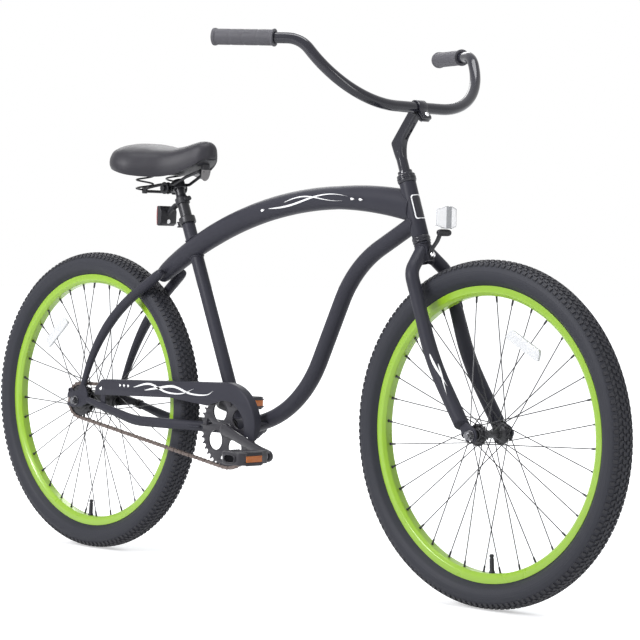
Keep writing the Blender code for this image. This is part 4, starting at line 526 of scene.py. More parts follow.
blackPlastic = grained("mouldedPlastic", "black_plastic", (0.022, 0.022, 0.026), 0.42, 1100.0, 0.00005, 0.4,
                       0.15)
pedalPlastic = grained("pedalPlastic", "black_plastic", (0.027, 0.026, 0.031), 0.40, 1000.0, 0.00005, 0.4,
                       0.15)
# the front lens and the wheel reflector take a painted glow as their last value
clearLens = lens("clearLens", "clear_lens", (0.95, 0.95, 0.96), 0.12, 330.0, 0.0005, 0.12, 0.26)
redLens = lens("redLens", "red_lens", (0.50, 0.012, 0.014), 0.25, 360.0)
amberLens = lens("amberLens", "black_plastic", (0.58, 0.140, 0.001), 0.05, 380.0, roughness=0.3)
wheelLens = lens("wheelReflector", "clear_lens", (0.80, 0.81, 0.82), 0.05, 520.0, 0.0002, 0.22, 0.02)
# a near-black, barely glossy finish for the sheet inside each pedal end: painted shade in the recess
recessShadeBlack = enamel("recessPaintedShade", "black_plastic", (0.004, 0.004, 0.005), 0.7, 0.05, 0.05, 900.0, 0.00001,
                  specular=0.05)
ribbedLens = lens("ribbedLens", "clear_lens", (0.50, 0.51, 0.53), 0.15, 700.0, 0.0004, 0.16)
lensRim = enamel("lensRim", "clear_lens", (0.42, 0.43, 0.45), 0.25, 0.05, 0.05, 900.0, 0.00001)
print("finishes made:", len(bpy.data.materials))


# Wheels: the tyre's section is a curve of (radius, across) and its length s is measured from the crown

tyre = dict(section=[(0.2795, 0.0112), (0.2846, 0.0124), (0.2892, 0.0174), (0.2960, 0.0246), (0.3045, 0.0281),
                     (0.3130, 0.0286), (0.3208, 0.0263), (0.3275, 0.0208), (0.3318, 0.0118), (0.3334, 0.0)],
            around=288, ribs=[(0.0385, 0.00045), (0.0425, 0.0003), (0.0465, 0.0003)], ribWidth=0.0008,
            pitches=150, blockHeight=0.0024, blockRoot=0.0006,
            # rows: distance from the crown, width, length as a share of the pitch, shift, lean
            rows=[(-0.0245, 0.0085, 0.60, 0.0, 0.0), (-0.0157, 0.0062, 0.62, 0.5, 0.25),
                  (-0.0083, 0.0058, 0.66, 0.0, -0.25), (0.0, 0.0066, 0.50, 0.5, 0.0),
                  (0.0083, 0.0058, 0.66, 0.0, 0.25), (0.0157, 0.0062, 0.62, 0.5, -0.25),
                  (0.0245, 0.0085, 0.60, 0.0, 0.0)])


def tyreLine(distance):
    # radius and across at a distance along the section from the crown, signed to the left
    half = np.array(tyre["section"])
    curve = through(np.vstack([half * [1, -1], half[-2::-1]]), 1200)
    length = lengthAlong(curve)
    return np.stack([np.interp(distance, length - length[-1] / 2, column) for column in curve.T], -1)


def raised(line, slope, rise):
    return line + unit(np.stack([slope[:, 1], -slope[:, 0]], -1)) * rise


def spun(line, angles, axle):
    return turnPoints(1.0, angles) * line[:, :1] + across * line[:, 1:] + axle


def tyreParts(axle):
    # casing: the section spun about the axle, with shallow ribs raised on its sidewalls
    reach = lengthAlong(tyre["section"])[-1]
    distance = np.linspace(-reach, reach, 150)
    line = tyreLine(distance)
    lift = sum(high * np.exp(-((np.abs(distance) - at) / tyre["ribWidth"]) ** 2) for at, high in tyre["ribs"])
    line = raised(line, np.gradient(line, axis=0), lift[:, None])
    angle = 2 * math.pi * np.arange(tyre["around"])[:, None] / tyre["around"]
    casing = sheetPart(spun(line, angle, axle), True)

    # tread: each block is a low frustum whose foot and top follow the same section
    pitch, index, ring = 2 * math.pi / tyre["pitches"], np.arange(tyre["pitches"]), np.arange(6)
    walls = np.stack([ring, np.roll(ring, -1), np.roll(ring, -1) + 6, ring + 6], -1)
    tops = np.array([[6, 7, 10, 11], [7, 8, 9, 10]])
    points, faces = [], []
    for at, width, share, shift, lean in tyre["rows"]:
        levels = []
        for rise, shrink in ((-tyre["blockRoot"], 1.0), (tyre["blockHeight"], 0.80)):
            s = at + np.array([-1, 0, 1, 1, 0, -1]) * width / 2 * shrink
            turn = np.array([-1, -1, -1, 1, 1, 1]) * share / 2 * shrink + lean * (s - at) / width
            line = raised(tyreLine(s), tyreLine(s + 0.0004) - tyreLine(s - 0.0004), rise)
            levels.append(spun(line, (index[:, None] + shift + turn) * pitch, axle))
        base = (index * 12)[:, None, None] + len(points) * 12 * tyre["pitches"]
        points.append(np.concatenate(levels, 1).reshape(-1, 3))
        faces += (base + walls).reshape(-1, 4).tolist() + (base + tops).reshape(-1, 4).tolist()
    return casing, (np.vstack(points), faces)


rim = dict(section=[(0.2777, -0.0122), (0.2855, -0.0124), (0.2858, -0.0145), (0.2728, -0.0145),
                    (0.2662, -0.0086), (0.2660, 0.0086), (0.2728, 0.0145), (0.2858, 0.0145),
                    (0.2855, 0.0124), (0.2777, 0.0122)],
           around=256, floor=0.2662, spokes=36, crossings=3, spokeRadius=0.00105, elbow=0.0058,
           nippleLength=0.0125)
hubs = dict(front=dict(axle=frontAxle, valve=math.radians(-87), flange=0.0335, holes=0.0188,
                       reflector=math.radians(62),
                       section=[(0.0054, 0.0415), (0.0112, 0.0415), (0.0130, 0.0395), (0.0130, 0.0360),
                                (0.0165, 0.0353), (0.0212, 0.0351), (0.0218, 0.0345), (0.0218, 0.0325),
                                (0.0212, 0.0319), (0.0150, 0.0312), (0.0096, 0.0275), (0.0078, 0.0220)]),
            rear=dict(axle=rearAxle, valve=math.radians(-93), flange=0.0300, holes=0.0280,
                      reflector=math.radians(131),
                      section=[(0.0054, 0.0384), (0.0150, 0.0384), (0.0165, 0.0370), (0.0170, 0.0335),
                               (0.0240, 0.0319), (0.0304, 0.0318), (0.0310, 0.0312), (0.0310, 0.0288),
                               (0.0304, 0.0282), (0.0240, 0.0270), (0.0212, 0.0235), (0.0205, 0.0200)]))


def spokeEnds(hub):
    # where each spoke starts at its flange and meets the rim, and the way its head turns
    index = np.arange(rim["spokes"])
    side = np.where(index % 2, 1, -1)
    pulling = np.where((index // 2) % 2, 1, -1)
    rimAngle = hub["valve"] + 2 * math.pi * (index + 0.5) / rim["spokes"]
    hubAngle = rimAngle + pulling * 2 * math.pi * rim["crossings"] / (rim["spokes"] // 2)
    foot = turnPoints(hub["holes"], hubAngle) + across * (side * (hub["flange"] + pulling * 0.0027))[:, None]
    tip = turnPoints(rim["floor"], rimAngle) + across * (side * 0.0022)[:, None]
    return foot + hub["axle"], tip + hub["axle"], side * pulling


def makeWheel(end):
    hub, body = hubs[end], f"{end}_wheel"
    axle = hub["axle"]
    casing, tread = tyreParts(axle)
    addPiece(f"{end}TyreCasing", [casing], body, tyreSide, [f"{end}_tyre", f"{end}_inner_tube"], 60)
    addPiece(f"{end}TyreTread", [tread], body, tyreTread, smooth=25)
    hoop = ringPart(rim["section"], axle, across, rim["around"], 0.0012)
    addPiece(f"{end}RimHoop", [hoop], body, lime, [f"{end}_rim"])

    section = hub["section"] + [(r, -y) for r, y in reversed(hub["section"])]
    parts, nipples = [ringPart(section, axle, across, 72, 0.0007)], []
    nipple = [(0, -0.0015), (0.0033, -0.0015), (0.0033, 0.0002), (0.0021, 0.0008), (0.0021, 0.0095),
              (0.0016, rim["nippleLength"]), (0, rim["nippleLength"])]
    for foot, tip, way in zip(*spokeEnds(hub)):
        inward = across * (-way) * rim["elbow"] * np.sign(foot[1] - axle[1])
        pull, head = unit(tip - foot), foot + inward
        run = through([head, foot + inward * 0.35, foot + pull * 0.0022, foot + pull * 0.006], 10)
        run = np.vstack([run, foot + (tip - foot) * 0.5, tip])
        parts.append(tubePart(run, rim["spokeRadius"], count=7, wide=unit(np.cross(tip - foot, across))))
        parts.append(rodPart(0.0019, head, head + unit(inward) * 0.0009, 10, 0.0003))
        nipples.append(turnedPart(nipple, tip, -pull, 12, False))
    addPiece(f"{end}HubAndSpokes", parts, body, spokeBlack, [f"{end}_hub_and_spokes"])
    addPiece(f"{end}Nipples", nipples, body, blackSteel)

    # the valve's stem with its cap and collar
    out = heading(hub["valve"])
    stem = [(0, 0.0370), (0.0032, 0.0370), (0.0044, 0.0355), (0.0046, 0.0315), (0.0036, 0.0310),
            (0.0036, 0.0290), (0.0044, 0.0280), (0.0046, 0.0060), (0.0058, 0.0035), (0.0062, 0), (0, 0)]
    addPiece(f"{end}Valve", [knobPart(stem, axle + out * 0.2668, -out, 24, cuts=2)], body, blackPlastic)

    # spoke reflector: a slim pale bar clipped across three spokes on the right
    out = heading(hub["reflector"])
    outline = softened([(-0.047, -0.010), (0.047, -0.010), (0.041, 0.012), (-0.041, 0.012)], 0.006, 5)
    bar = placed(flatPart([outline], -0.0034, 0.0034, 0.0010), axle + out * 0.198 - across * 0.0125,
                 np.cross(across, out), across)
    addPiece(f"{end}WheelReflector", [bar], body, wheelLens)


for end in ("front", "rear"):
    makeWheel(end)
print("wheels made")


# Frame tubes

tubes = dict(headRadius=0.0168, headLow=0.4198, headLength=0.1130, topArc=1.017, topAt=0.4834,
             topSlope=math.radians(10.9), topTail=0.1241, topRadius=0.0238, downRadius=0.0170, downAt=0.4513,
             seatRadius=0.0143, seatLength=0.4900, shellRadius=0.0235, shellHalf=0.0340, weldRadius=0.0021,
             stayEnd=0.0580, dropout=(0.0555, 0.0605), pinch=0.55, pinchLength=0.030,
             stayHeights=[(0, 0.0072), (0.38, 0.0112), (1, 0.0110)],
             stayWidths=[(0, 0.0056), (0.38, 0.0080), (1, 0.0076)],
             seatStay=[(0, 0.0085), (0.02, 0.0104), (0.05, 0.0110), (0.55, 0.0110), (1, 0.0066)],
             topDepth=[(0, 0.0150), (0.012, 0.0178), (0.03, 0.0196), (0.06, 0.0209), (0.10, 0.0218),
                       (0.25, 0.0235), (0.74, 0.0238), (0.87, 0.0275), (1, 0.0310)],
             topWidth=[(0, 0.0140), (0.012, 0.0172), (0.03, 0.0190), (0.06, 0.0203), (0.10, 0.0212),
                       (0.25, 0.0235), (0.74, 0.0235), (1, 0.0175)])


def topTubePath():
    # one arc from the closed rear end, over the seat tube, to the steering axis
    start, arc = math.pi / 2 - tubes["topSlope"], tubes["topArc"]
    centre = steerPoint(0, 0, tubes["topAt"]) - heading(start) * arc
    lift, aside = (centre - seatFoot) @ seatUp, (centre - seatFoot) @ seatAhead
    crossing = seatFoot + seatUp * (lift + math.sqrt(arc**2 - aside**2))
    sweep = math.atan2(crossing[2] - centre[2], crossing[0] - centre[0]) - start + tubes["topTail"] / arc
    return centre + turnPoints(arc, start + sweep * np.linspace(1, 0, 180))


def downTubePath():
    headEnd = steerPoint(0, 0, tubes["downAt"])
    lower, upper = crankCentre + heading(math.radians(17)) * 0.1865, headEnd - heading(math.radians(28.2)) * 0.1924
    return roundedPath([crankCentre, lower, upper, headEnd], [0.2587, 0.2476])


def chainStayPath(side):
    return roundedPath(
        [rearAxle + [0.035, side * tubes["stayEnd"], 0.0040], rearAxle + [0.200, side * 0.0535, -0.0335],
         crankCentre + [-0.185, side * 0.0465, 0.0010], crankCentre + [-0.085, side * 0.0290, 0.0005],
         crankCentre + [-0.018, side * 0.0205, 0]], [0.25, 0.12, 0.12])


def seatStayPath(side):
    return roundedPath([topPath[0] + [0.0290, side * 0.0318, 0.0058], rearAxle + [0.0880, side * 0.0593, 0.1805],
                        rearAxle + [0.025, side * tubes["stayEnd"], 0.039]], [0.42])


def clearOf(points, path, radius):
    # signed distance from points to a tube about a path
    ahead = np.diff(path, axis=0)
    share = ((points[..., None, :] - path[:-1]) * ahead).sum(-1) / (ahead**2).sum(-1)
    gap = points[..., None, :] - (path[:-1] + ahead * np.clip(share, 0, 1)[..., None])
    return np.linalg.norm(gap, axis=-1).min(-1) - radius


def weldPart(grid, line, radius, bead=tubes["weldRadius"]):
    # the loop where a tube's surface runs into a round one about a line, as a rippled bead
    distance = clearOf(grid, line, radius)
    inside = distance < 0
    changes = inside[1:] != inside[:-1]
    nearest = np.minimum(np.abs(distance).argmin(0), len(grid) - 2)
    crossing = np.where(changes.any(0), changes.argmax(0), nearest)
    column = np.arange(grid.shape[1])
    low, high = distance[crossing, column], distance[crossing + 1, column]
    share = np.where(changes.any(0), low / np.where(low == high, 1, low - high), 0.5)[:, None]
    loop = grid[crossing, column] * (1 - share) + grid[crossing + 1, column] * share
    loop = evenly(np.vstack([loop, loop[:1]]), 0.0012)[:-1]
    bead = bead * (1 + 0.10 * np.sin(np.arange(len(loop)) * 2.1))
    return sheetPart(carried(loop, roundSection(bead, bead, 10), np.array([0.3, 0.5, 0.8]), True), True)


def shrunk(ring, ahead, steps):
    # copies of an end ring, one for each (share of its size, distance ahead)
    middle, (share, far) = ring.mean(0), np.array(steps).T[:, :, None, None]
    return middle + (ring - middle) * share + unit(ahead) * far


headLow, headHigh = tubes["headLow"], tubes["headLow"] + tubes["headLength"]
headLine = np.stack([steerPoint(0, 0, 0.38), steerPoint(0, 0, 0.58)])
shellLine = np.stack(spread(crankCentre, -0.1, 0.1))
topPath, downPath = topTubePath(), downTubePath()


def makeFrame():
    headR, shellR, seatR = tubes["headRadius"], tubes["shellRadius"], tubes["seatRadius"]
    head = sleevePart(headR, 0.0150, steerPoint(0, 0, headLow), steerPoint(0, 0, headHigh), 64, 0.0006)
    addPiece("headTube", [head], "frame", charcoal, ["head_tube"])
    shell = sleevePart(shellR, 0.0196, *spread(crankCentre, -tubes["shellHalf"], tubes["shellHalf"]), 64, 0.0010)
    addPiece("bottomBracketShell", [shell], "frame", charcoal, ["bottom_bracket_shell"])

    grid = tubeGrid(topPath, tubes["topWidth"], tubes["topDepth"])
    welds = [weldPart(grid[60:], headLine, headR)]
    dome = shrunk(grid[0], topPath[0] - topPath[1], [(0.3, 0.0062), (0.6, 0.0052), (0.86, 0.0030)])
    addPiece("topTube", [sheetPart(np.concatenate([dome, grid]))], "frame", charcoal, ["top_tube"], 50)
    grid, split = tubeGrid(downPath, tubes["downRadius"]), len(downPath) // 2
    welds += [weldPart(grid[split:], headLine, headR), weldPart(grid[:split], shellLine, shellR)]
    addPiece("downTube", [sheetPart(grid)], "frame", charcoal, ["down_tube"], 50)

    seat = sleevePart(seatR, 0.0130, seatPoint(0, 0, 0.010), seatPoint(0, 0, tubes["seatLength"]))
    addPiece("seatTube", [seat], "frame", charcoal, ["seat_tube"])
    grid = tubeGrid(evenly([seatFoot, seatPoint(0, 0, tubes["seatLength"])], 0.004), seatR)
    welds.append(weldPart(grid[:20], shellLine, shellR))
    middle = int(clearOf(grid, topPath[::6], tubes["topRadius"]).mean(1).argmin())
    welds += [weldPart(part, topPath[::6], tubes["topRadius"])
              for part in (grid[middle - 14:middle], grid[middle:middle + 14])]

    for name, side in sides:
        stay = chainStayPath(side)
        grid = tubeGrid(stay, tubes["stayWidths"], tubes["stayHeights"], 36)
        # the end is pinched flat where it takes the dropout plate
        pinch = np.clip(1 - np.arange(len(stay)) * 0.004 / tubes["pinchLength"], 0, 1)[:, None, None] ** 2
        grid[..., 1:2] += (side * tubes["stayEnd"] - grid[..., 1:2]) * tubes["pinch"] * pinch
        parts = [sheetPart(grid), *dropoutParts(side)]
        welds.append(weldPart(grid[-25:], shellLine, shellR, 0.0018))
        if side < 0:
            parts.append(blockPart((-0.515, -0.0539, 0.326), (-0.499, -0.0513, 0.374)))
        addPiece(f"chainStay{name.title()}", parts, "frame", charcoal, [f"chain_stay_{name}"], 45)
        stay = seatStayPath(side)
        stay = np.vstack([stay[0] + unit(stay[0] - stay[3]) * [[0.0070], [0.0040]], stay])
        grid = tubeGrid(stay, tubes["seatStay"], None, 36)
        tip = shrunk(grid[0], stay[0] - stay[1], [(0.45, 0.0030), (0.8, 0.0018)])
        addPiece(f"seatStay{name.title()}", [sheetPart(np.concatenate([tip, grid]))], "frame", charcoal,
                 [f"seat_stay_{name}"], 50)
    addPiece("weldBeads", welds, "frame", charcoal, smooth=70)
    # the bridge behind the shell lies flat, drawn as (x, y) outlines and turned over
    plan = softened([(-0.2296, -0.0462), (-0.1916, -0.0452), (-0.1946, 0), (-0.1916, 0.0452),
                     (-0.2296, 0.0462), (-0.2266, 0)], 0.004)
    bridge = flatPart([plan, circleOutline((-0.2106, 0, 0), 0.0045, 24)], -0.00175, 0.00175, 0.0005)
    addPiece("stayBridge", [(bridge[0][:, [0, 2, 1]] + [0, 0, 0.30145], bridge[1])], "frame", charcoal,
             ["chain_stay_bridge"])


def dropoutParts(side):
    # the rear plate: an open slot behind the axle, a lobe for the stay and an eyelet with its ring
    slot = turnPoints(0.0055, np.linspace(-math.pi / 2, math.pi / 2, 13))[:, [0, 2]]
    corners = [(-0.030, 0.0055), (-0.030, 0.0140), (-0.0265, 0.0185), (-0.0248, 0.0262), (-0.0190, 0.0285),
               (-0.0130, 0.0245), (-0.010, 0.0200), (0.006, 0.0240), (0.0180, 0.0418), (0.0317, 0.0357),
               (0.040, 0.0180), (0.042, -0.0040), (0.022, -0.0130), (-0.010, -0.0160), (-0.030, -0.0130),
               (-0.030, -0.0055)]
    outline = np.vstack([softened(corners, 0.0030, 4)[2:-2], slot]) + rearAxle[[0, 2]]
    near, far = sorted(side * level for level in tubes["dropout"])
    eyelet = rearAxle + [-0.021, 0, 0.0222]
    return (flatPart([outline, circleOutline(eyelet, 0.0026, 20)], near, far, 0.0006),
            sleevePart(0.0055, 0.0026, *spread(eyelet, side * 0.0603, side * 0.0611), 24, 0.0002))


makeFrame()
print("frame made")


# Drive: guard, chain, sprockets, cranks and pedals

guardPlan = dict(outerY=-0.0556, skin=0.0014, depth=0.0200, tipDepth=0.0046, round=0.0042, ringRadius=0.0625,
                 corner=0.0920, wire=0.0013, topRear=(-0.4136, 0.0864), frontTop=(0.0960, 0.1030),
                 frontLow=(0.0925, -0.0167), rearEnd=[(-0.4347, 0.0680), (-0.4343, 0.0510)],
                 under=[(-0.1768, 0.0584), (-0.0564, 0.0479)])
ringRadius = layout["chainPitch"] / (2 * math.sin(math.pi / layout["ringTeeth"]))
cogRadius = layout["chainPitch"] / (2 * math.sin(math.pi / layout["cogTeeth"]))


def guardEdge(inset=0.0):
    # the outer edge in the plane of the face, from the rear end over to the front
    corners = [(x, 0, z) for x, z in (guardPlan["rearEnd"][0], guardPlan["topRear"], guardPlan["frontTop"],
                                      guardPlan["frontLow"])]
    path = roundedPath(corners, [0.010, guardPlan["corner"]], 0.003) + crankCentre
    ahead = unit(np.gradient(path, axis=0))
    return path - np.cross(ahead, across) * inset + across * guardPlan["outerY"]


def makeGuard():
    face, skin, rounding, depth, tipDepth = (
        guardPlan[key] for key in ("outerY", "skin", "round", "depth", "tipDepth"))
    edge = guardEdge()
    # the flange narrows towards the rounded lower tip
    left = np.arange(len(edge))[::-1, None] * np.linalg.norm(edge[-1] - edge[-2])
    limit = tipDepth + (depth - tipDepth) * np.clip(left / 0.035, 0, 1) ** 0.6
    turn = np.linspace(0, math.pi / 2, 7)
    plies = []
    for bend in (rounding, rounding - skin):
        ply = np.stack([rounding - bend * np.cos(turn), bend * np.sin(turn) - rounding], -1)
        ply = np.vstack([ply, [depth, bend - rounding]])
        level = np.broadcast_to(ply[:, 1], (len(edge), len(ply)))
        plies.append(carried(edge, np.stack([np.minimum(ply[:, 0], limit), level], -1)))

    inner = turnPoints(guardPlan["ringRadius"], np.radians(np.linspace(-2, 114, 48)))[:, [0, 2]]
    inset = guardEdge(rounding)[:, [0, 2]] - crankCentre[[0, 2]]
    middle = (inset[-1] + inner[0]) / 2
    spoke = inset[-1] - middle
    turn = np.linspace(0, math.pi, 14)[1:-1, None]
    tip = middle + np.cos(turn) * spoke + np.sin(turn) * np.array([spoke[1], -spoke[0]])
    outline = np.vstack([inset, tip, inner, guardPlan["under"][::-1], guardPlan["rearEnd"][1]])
    plate = flatPart([outline + crankCentre[[0, 2]]], face, face + skin, 0.0001)
    # the edge round the ring's window is rolled over a wire
    window = turnPoints(guardPlan["ringRadius"], np.radians(np.linspace(-1, 113, 60)))
    rolled = tubePart(window + crankCentre + across * (face + 0.0008), guardPlan["wire"], count=10)
    addPiece("chainGuard", [pliesPart(*plies), plate, rolled], "frame", charcoal, ["chain_guard"], 40)
    lug = crankCentre + [ringRadius + 0.0048, 0, 0.0165]
    strap = blockPart((lug[0], -0.0539, lug[2]), (lug[0] + 0.0042, -0.0110, lug[2] + 0.0035))
    addPiece("guardStrap", [strap], "frame", charcoal)
    dome = [(0, 0), (0.0042, 0), (0.0042, 0.0006), (0.0036, 0.0016), (0.0022, 0.0024), (0, 0.0026)]
    bolts = [knobPart(dome, place + across * (face + 0.0002), -across, 28, 0.0004, 2)
             for place in (rearAxle + [0.0830, 0, 0.0310], crankCentre + [0.0704, 0, -0.0145])]
    addPiece("guardBolts", bolts, "frame", zinc)


centreGap = float(np.linalg.norm(crankCentre - rearAxle))
wrapAngle = math.asin((ringRadius - cogRadius) / centreGap)
liftAngle = math.atan2(crankCentre[2] - rearAxle[2], crankCentre[0] - rearAxle[0])
wrapTop, wrapBottom = liftAngle + math.pi / 2 + wrapAngle, liftAngle - math.pi / 2 - wrapAngle
straightLinks = centreGap * math.cos(wrapAngle) / layout["chainPitch"]
ringLinks = layout["ringTeeth"] * (math.pi + 2 * wrapAngle) / (2 * math.pi)
cogLinks = layout["cogTeeth"] * (math.pi - 2 * wrapAngle) / (2 * math.pi)


def chainPin(place):
    # the pin at a number of links from the top of the ring, forward round the run
    if place < ringLinks:
        return crankCentre + ringRadius * heading(wrapTop - 2 * math.pi * place / layout["ringTeeth"])
    place -= ringLinks
    if place < straightLinks:
        ring, cog = (centre + radius * heading(wrapBottom) for centre, radius in sprockets)
        return ring + (cog - ring) * place / straightLinks
    place -= straightLinks
    if place < cogLinks:
        return rearAxle + cogRadius * heading(wrapBottom - 2 * math.pi * place / layout["cogTeeth"])
    place -= cogLinks
    ring, cog = (centre + radius * heading(wrapTop) for centre, radius in sprockets)
    return cog + (ring - cog) * place / straightLinks


sprockets = ((crankCentre, ringRadius), (rearAxle, cogRadius))
chainShape = dict(plateRadius=0.0046, waist=0.0031, halfPlate=0.0004, roller=0.0038, bush=0.0012, halfRoller=0.0018,
                  pinRadius=0.0018, pinEnd=0.0042, inner=(0.0019, 0.0027), outer=(0.0029, 0.0037))


def linkOutline():
    # a figure of eight: z = +-(waist + (radius - waist) (1 - 4 u (1 - u))^2) between round ends
    pitch, radius, waist = layout["chainPitch"], chainShape["plateRadius"], chainShape["waist"]
    right = np.radians(np.linspace(-60, 60, 7))
    end = np.stack([pitch + radius * np.cos(right), radius * np.sin(right)], -1)
    share = np.linspace(0.80, 0.20, 4)
    top = np.stack([share * pitch, waist + (radius - waist) * (1 - 4 * share * (1 - share)) ** 2], -1)
    return np.vstack([end, top, [pitch, 0] - end, [pitch, 0] - top])


def makeChain():
    half, bush, radius = chainShape["halfRoller"], chainShape["bush"], chainShape["roller"]
    plate = flatPart([linkOutline()], -chainShape["halfPlate"], chainShape["halfPlate"], 0.00012)
    roller = turnedPart([(bush, -half), (radius, -half), (radius, half), (bush, half)], (0, 0, 0), across, 12)
    end = chainShape["pinEnd"]
    pin = rodPart(chainShape["pinRadius"], *spread(np.zeros(3), -end, end), 8, 0.0003)
    plates, rounds = [], []
    pins = [chainPin(place) - across * layout["chainLine"] for place in range(layout["links"])]
    for place, here in enumerate(pins):
        low, high = chainShape["inner"] if place % 2 else chainShape["outer"]
        ahead = unit(pins[(place + 1) % layout["links"]] - here)
        plates += [placed(plate, here + across * side * (low + high) / 2, ahead, across) for side in (-1, 1)]
        rounds += [(roller[0] + here, roller[1]), (pin[0] + here, pin[1])]
    addPiece("chainPlates", plates, "frame", chainSteel, ["chain"], 30)
    addPiece("chainRollers", rounds, "frame", chainSteel)


def toothedOutline(centre, radius, teeth, firstPin):
    # gullets round each roller, r = 4.1 mm about the pin, between narrow teeth with round tips
    points = []
    for index in range(teeth):
        angle = firstPin - 2 * math.pi * index / teeth
        out, over = heading(angle), -heading(angle + math.pi / 2)
        for turn in np.radians(np.linspace(-86, 86, 9)):
            points.append(out * (radius - 0.0041 * math.cos(turn)) + over * 0.0041 * math.sin(turn))
        out, over = heading(angle - math.pi / teeth), -heading(angle - math.pi / teeth + math.pi / 2)
        for shift, rise in ((-0.0010, 0.0031), (-0.0004, 0.0037), (0.0004, 0.0037), (0.0010, 0.0031)):
            points.append(out * (radius + rise) + over * shift)
    return (np.array(points) + centre)[:, [0, 2]]


def makeSprockets():
    line, half = -layout["chainLine"], 0.0014
    outlines = [toothedOutline(crankCentre, ringRadius, layout["ringTeeth"], wrapTop),
                circleOutline(crankCentre, 0.0122)]
    rims = []
    for quarter in np.arange(4) * math.pi / 2:
        # a round window with a raised rim, then a small three-cornered one
        middle = crankCentre + heading(math.radians(123) + quarter) * 0.0440
        outlines.append(circleOutline(middle, 0.0210, 48))
        rims.append(sleevePart(0.0228, 0.0210, *spread(middle, line - 0.0020, line + 0.0020)))
        out = heading(math.radians(168) + quarter)
        corners = [crankCentre + out * a + np.cross(out, across) * b
                   for a, b in ((0.0480, 0), (0.0655, 0.0090), (0.0672, 0), (0.0655, -0.0090))]
        outlines.append(softened(np.array(corners)[:, [0, 2]], 0.0022, 4))
    ring = flatPart(outlines, line - half, line + half, 0.0003)
    rims.append(sleevePart(0.0200, 0.0122, *spread(crankCentre, line - 0.0026, line + 0.0020), 48, 0.0008))
    addPiece("chainringPlate", [ring] + rims, "crank", crankBlack, ["chainring"], 28)

    firstPin = wrapBottom + 2 * math.pi * ((ringLinks + straightLinks) % 1) / layout["cogTeeth"]
    cog = flatPart([toothedOutline(rearAxle, cogRadius, layout["cogTeeth"], firstPin),
                    circleOutline(rearAxle, 0.0170)], line - half, line + half, 0.0003)
    driver = [(0.0054, -0.0505), (0.0120, -0.0505), (0.0135, -0.0495), (0.0170, -0.0490), (0.0185, -0.0478),
              (0.0185, -0.0390), (0.0054, -0.0390)]
    dish = sleevePart(0.0262, 0.0180, *spread(rearAxle, -0.0478, -0.0462))
    addPiece("rearSprocket", [cog, ringPart(driver, rearAxle, across, 48), dish], "rear_sprocket", blackSteel,
             ["rear_sprocket"], 28)


crankPlan = dict(length=0.170, angle=math.radians(-14.4), rootY=0.0545, tipY=0.0832, halfThick=0.0068,
                 root=0.0125, waist=0.0100, eye=0.0125, spindle=0.0119)


def crankDirection(side):
    return heading(crankPlan["angle"] + (math.pi if side > 0 else 0))


def crankArm(side):
    # superellipse |x/w|^2.6 + |y/d|^2.6 = 1, its half width w round at both ends and waisted between
    length, root, eye, waist, thick = (crankPlan[key] for key in ("length", "root", "eye", "waist", "halfThick"))
    turn = np.linspace(0.12, math.pi / 2, 12)
    reach = np.concatenate([-root * np.cos(turn), np.linspace(0.004, length - 0.004, 60),
                            length + eye * np.cos(turn[::-1])])
    ends = np.sqrt(np.maximum(np.where(reach < 0, root**2 - reach**2, eye**2 - (reach - length) ** 2), 0))
    swell = (root - waist) * (np.exp(-(reach / 0.030) ** 2) + np.exp(-((length - reach) / 0.022) ** 2))
    half = np.where((reach < 0) | (reach > length), ends, waist + swell)
    lean = crankPlan["rootY"] + (crankPlan["tipY"] - crankPlan["rootY"]) * np.clip(reach / length, 0, 1)
    ahead = crankDirection(side)
    path = crankCentre + ahead * reach[:, None] + across * side * lean[:, None]
    section = roundSection(half, np.minimum(thick, np.sqrt(half / root) * thick), 40, 2.6)
    return sheetPart(path[:, None] + np.cross(across, ahead) * section[..., :1] + across * section[..., 1:])


def makeCrank():
    r, inner = crankPlan["spindle"], crankPlan["rootY"] - crankPlan["halfThick"] / 2
    cone = r + 0.0055
    profile = [(0, -inner), (0.0152, -inner), (cone, -0.0490), (cone, -0.0472), (r, -0.0472), (r, -0.0438),
               (cone, -0.0438), (cone, -0.0374), (r + 0.0022, -0.0374), (r, -0.0310), (r, 0.0310),
               (r + 0.0022, 0.0374), (cone, 0.0374), (cone, 0.0454), (r + 0.002, 0.0470), (r + 0.002, inner),
               (0, inner)]
    parts = [knobPart(profile, crankCentre, across, 56, 0.0008, 2), crankArm(-1), crankArm(1),
             hexPart(0.0310, *spread(crankCentre, 0.0378, 0.0440), 0.0118)]
    addPiece("crankForging", parts, "crank", crankBlack, ["crank"], 40)
    section = [(0.0155, 0.0025), (0.0216, 0.0025), (0.0216, 0), (0.0193, 0), (0.0193, -0.0100),
               (0.0166, -0.0100), (0.0166, 0)]
    for name, side in sides:
        cup = ringPart(section, crankCentre + across * side * 0.0343, across * side, 48, 0.0004, 2)
        addPiece(f"bottomCup{name.title()}", [cup], "frame", blackSteel, [f"bottom_bracket_cup_{name}"])


pedalPlan = dict(neck=0.0124, tread=0.0454, end=0.1054, half=0.0360, height=0.0130, lampHalf=0.0210,
                 lampHeight=0.0066)


def pedalBody(side, centre):
    # plan outline of a moulded body, stood up by height and waisted between its tread bars
    near, far, end, half, height = (pedalPlan[key] for key in ("neck", "tread", "end", "half", "height"))
    plan = [(-0.0135, near), (0.0135, near), (0.0190, far - 0.006), (half, far), (half, end - 0.014),
            (half - 0.012, end), (0.012 - half, end), (-half, end - 0.014), (-half, far), (-0.0190, far - 0.006)]
    outlines = [softened(plan, 0.0050, 5)]
    for low, high in ((-0.0245, -0.0120), (0.0120, 0.0245)):
        box = [(low, far + 0.010), (high, far + 0.010), (high, end - 0.018), (low, end - 0.018)]
        outlines.append(softened(box, 0.0030, 4))
    points, faces = flatPart(outlines, -height, height, 0.0014)
    return points[:, [0, 2, 1]] * [1, side, -side] + centre, faces


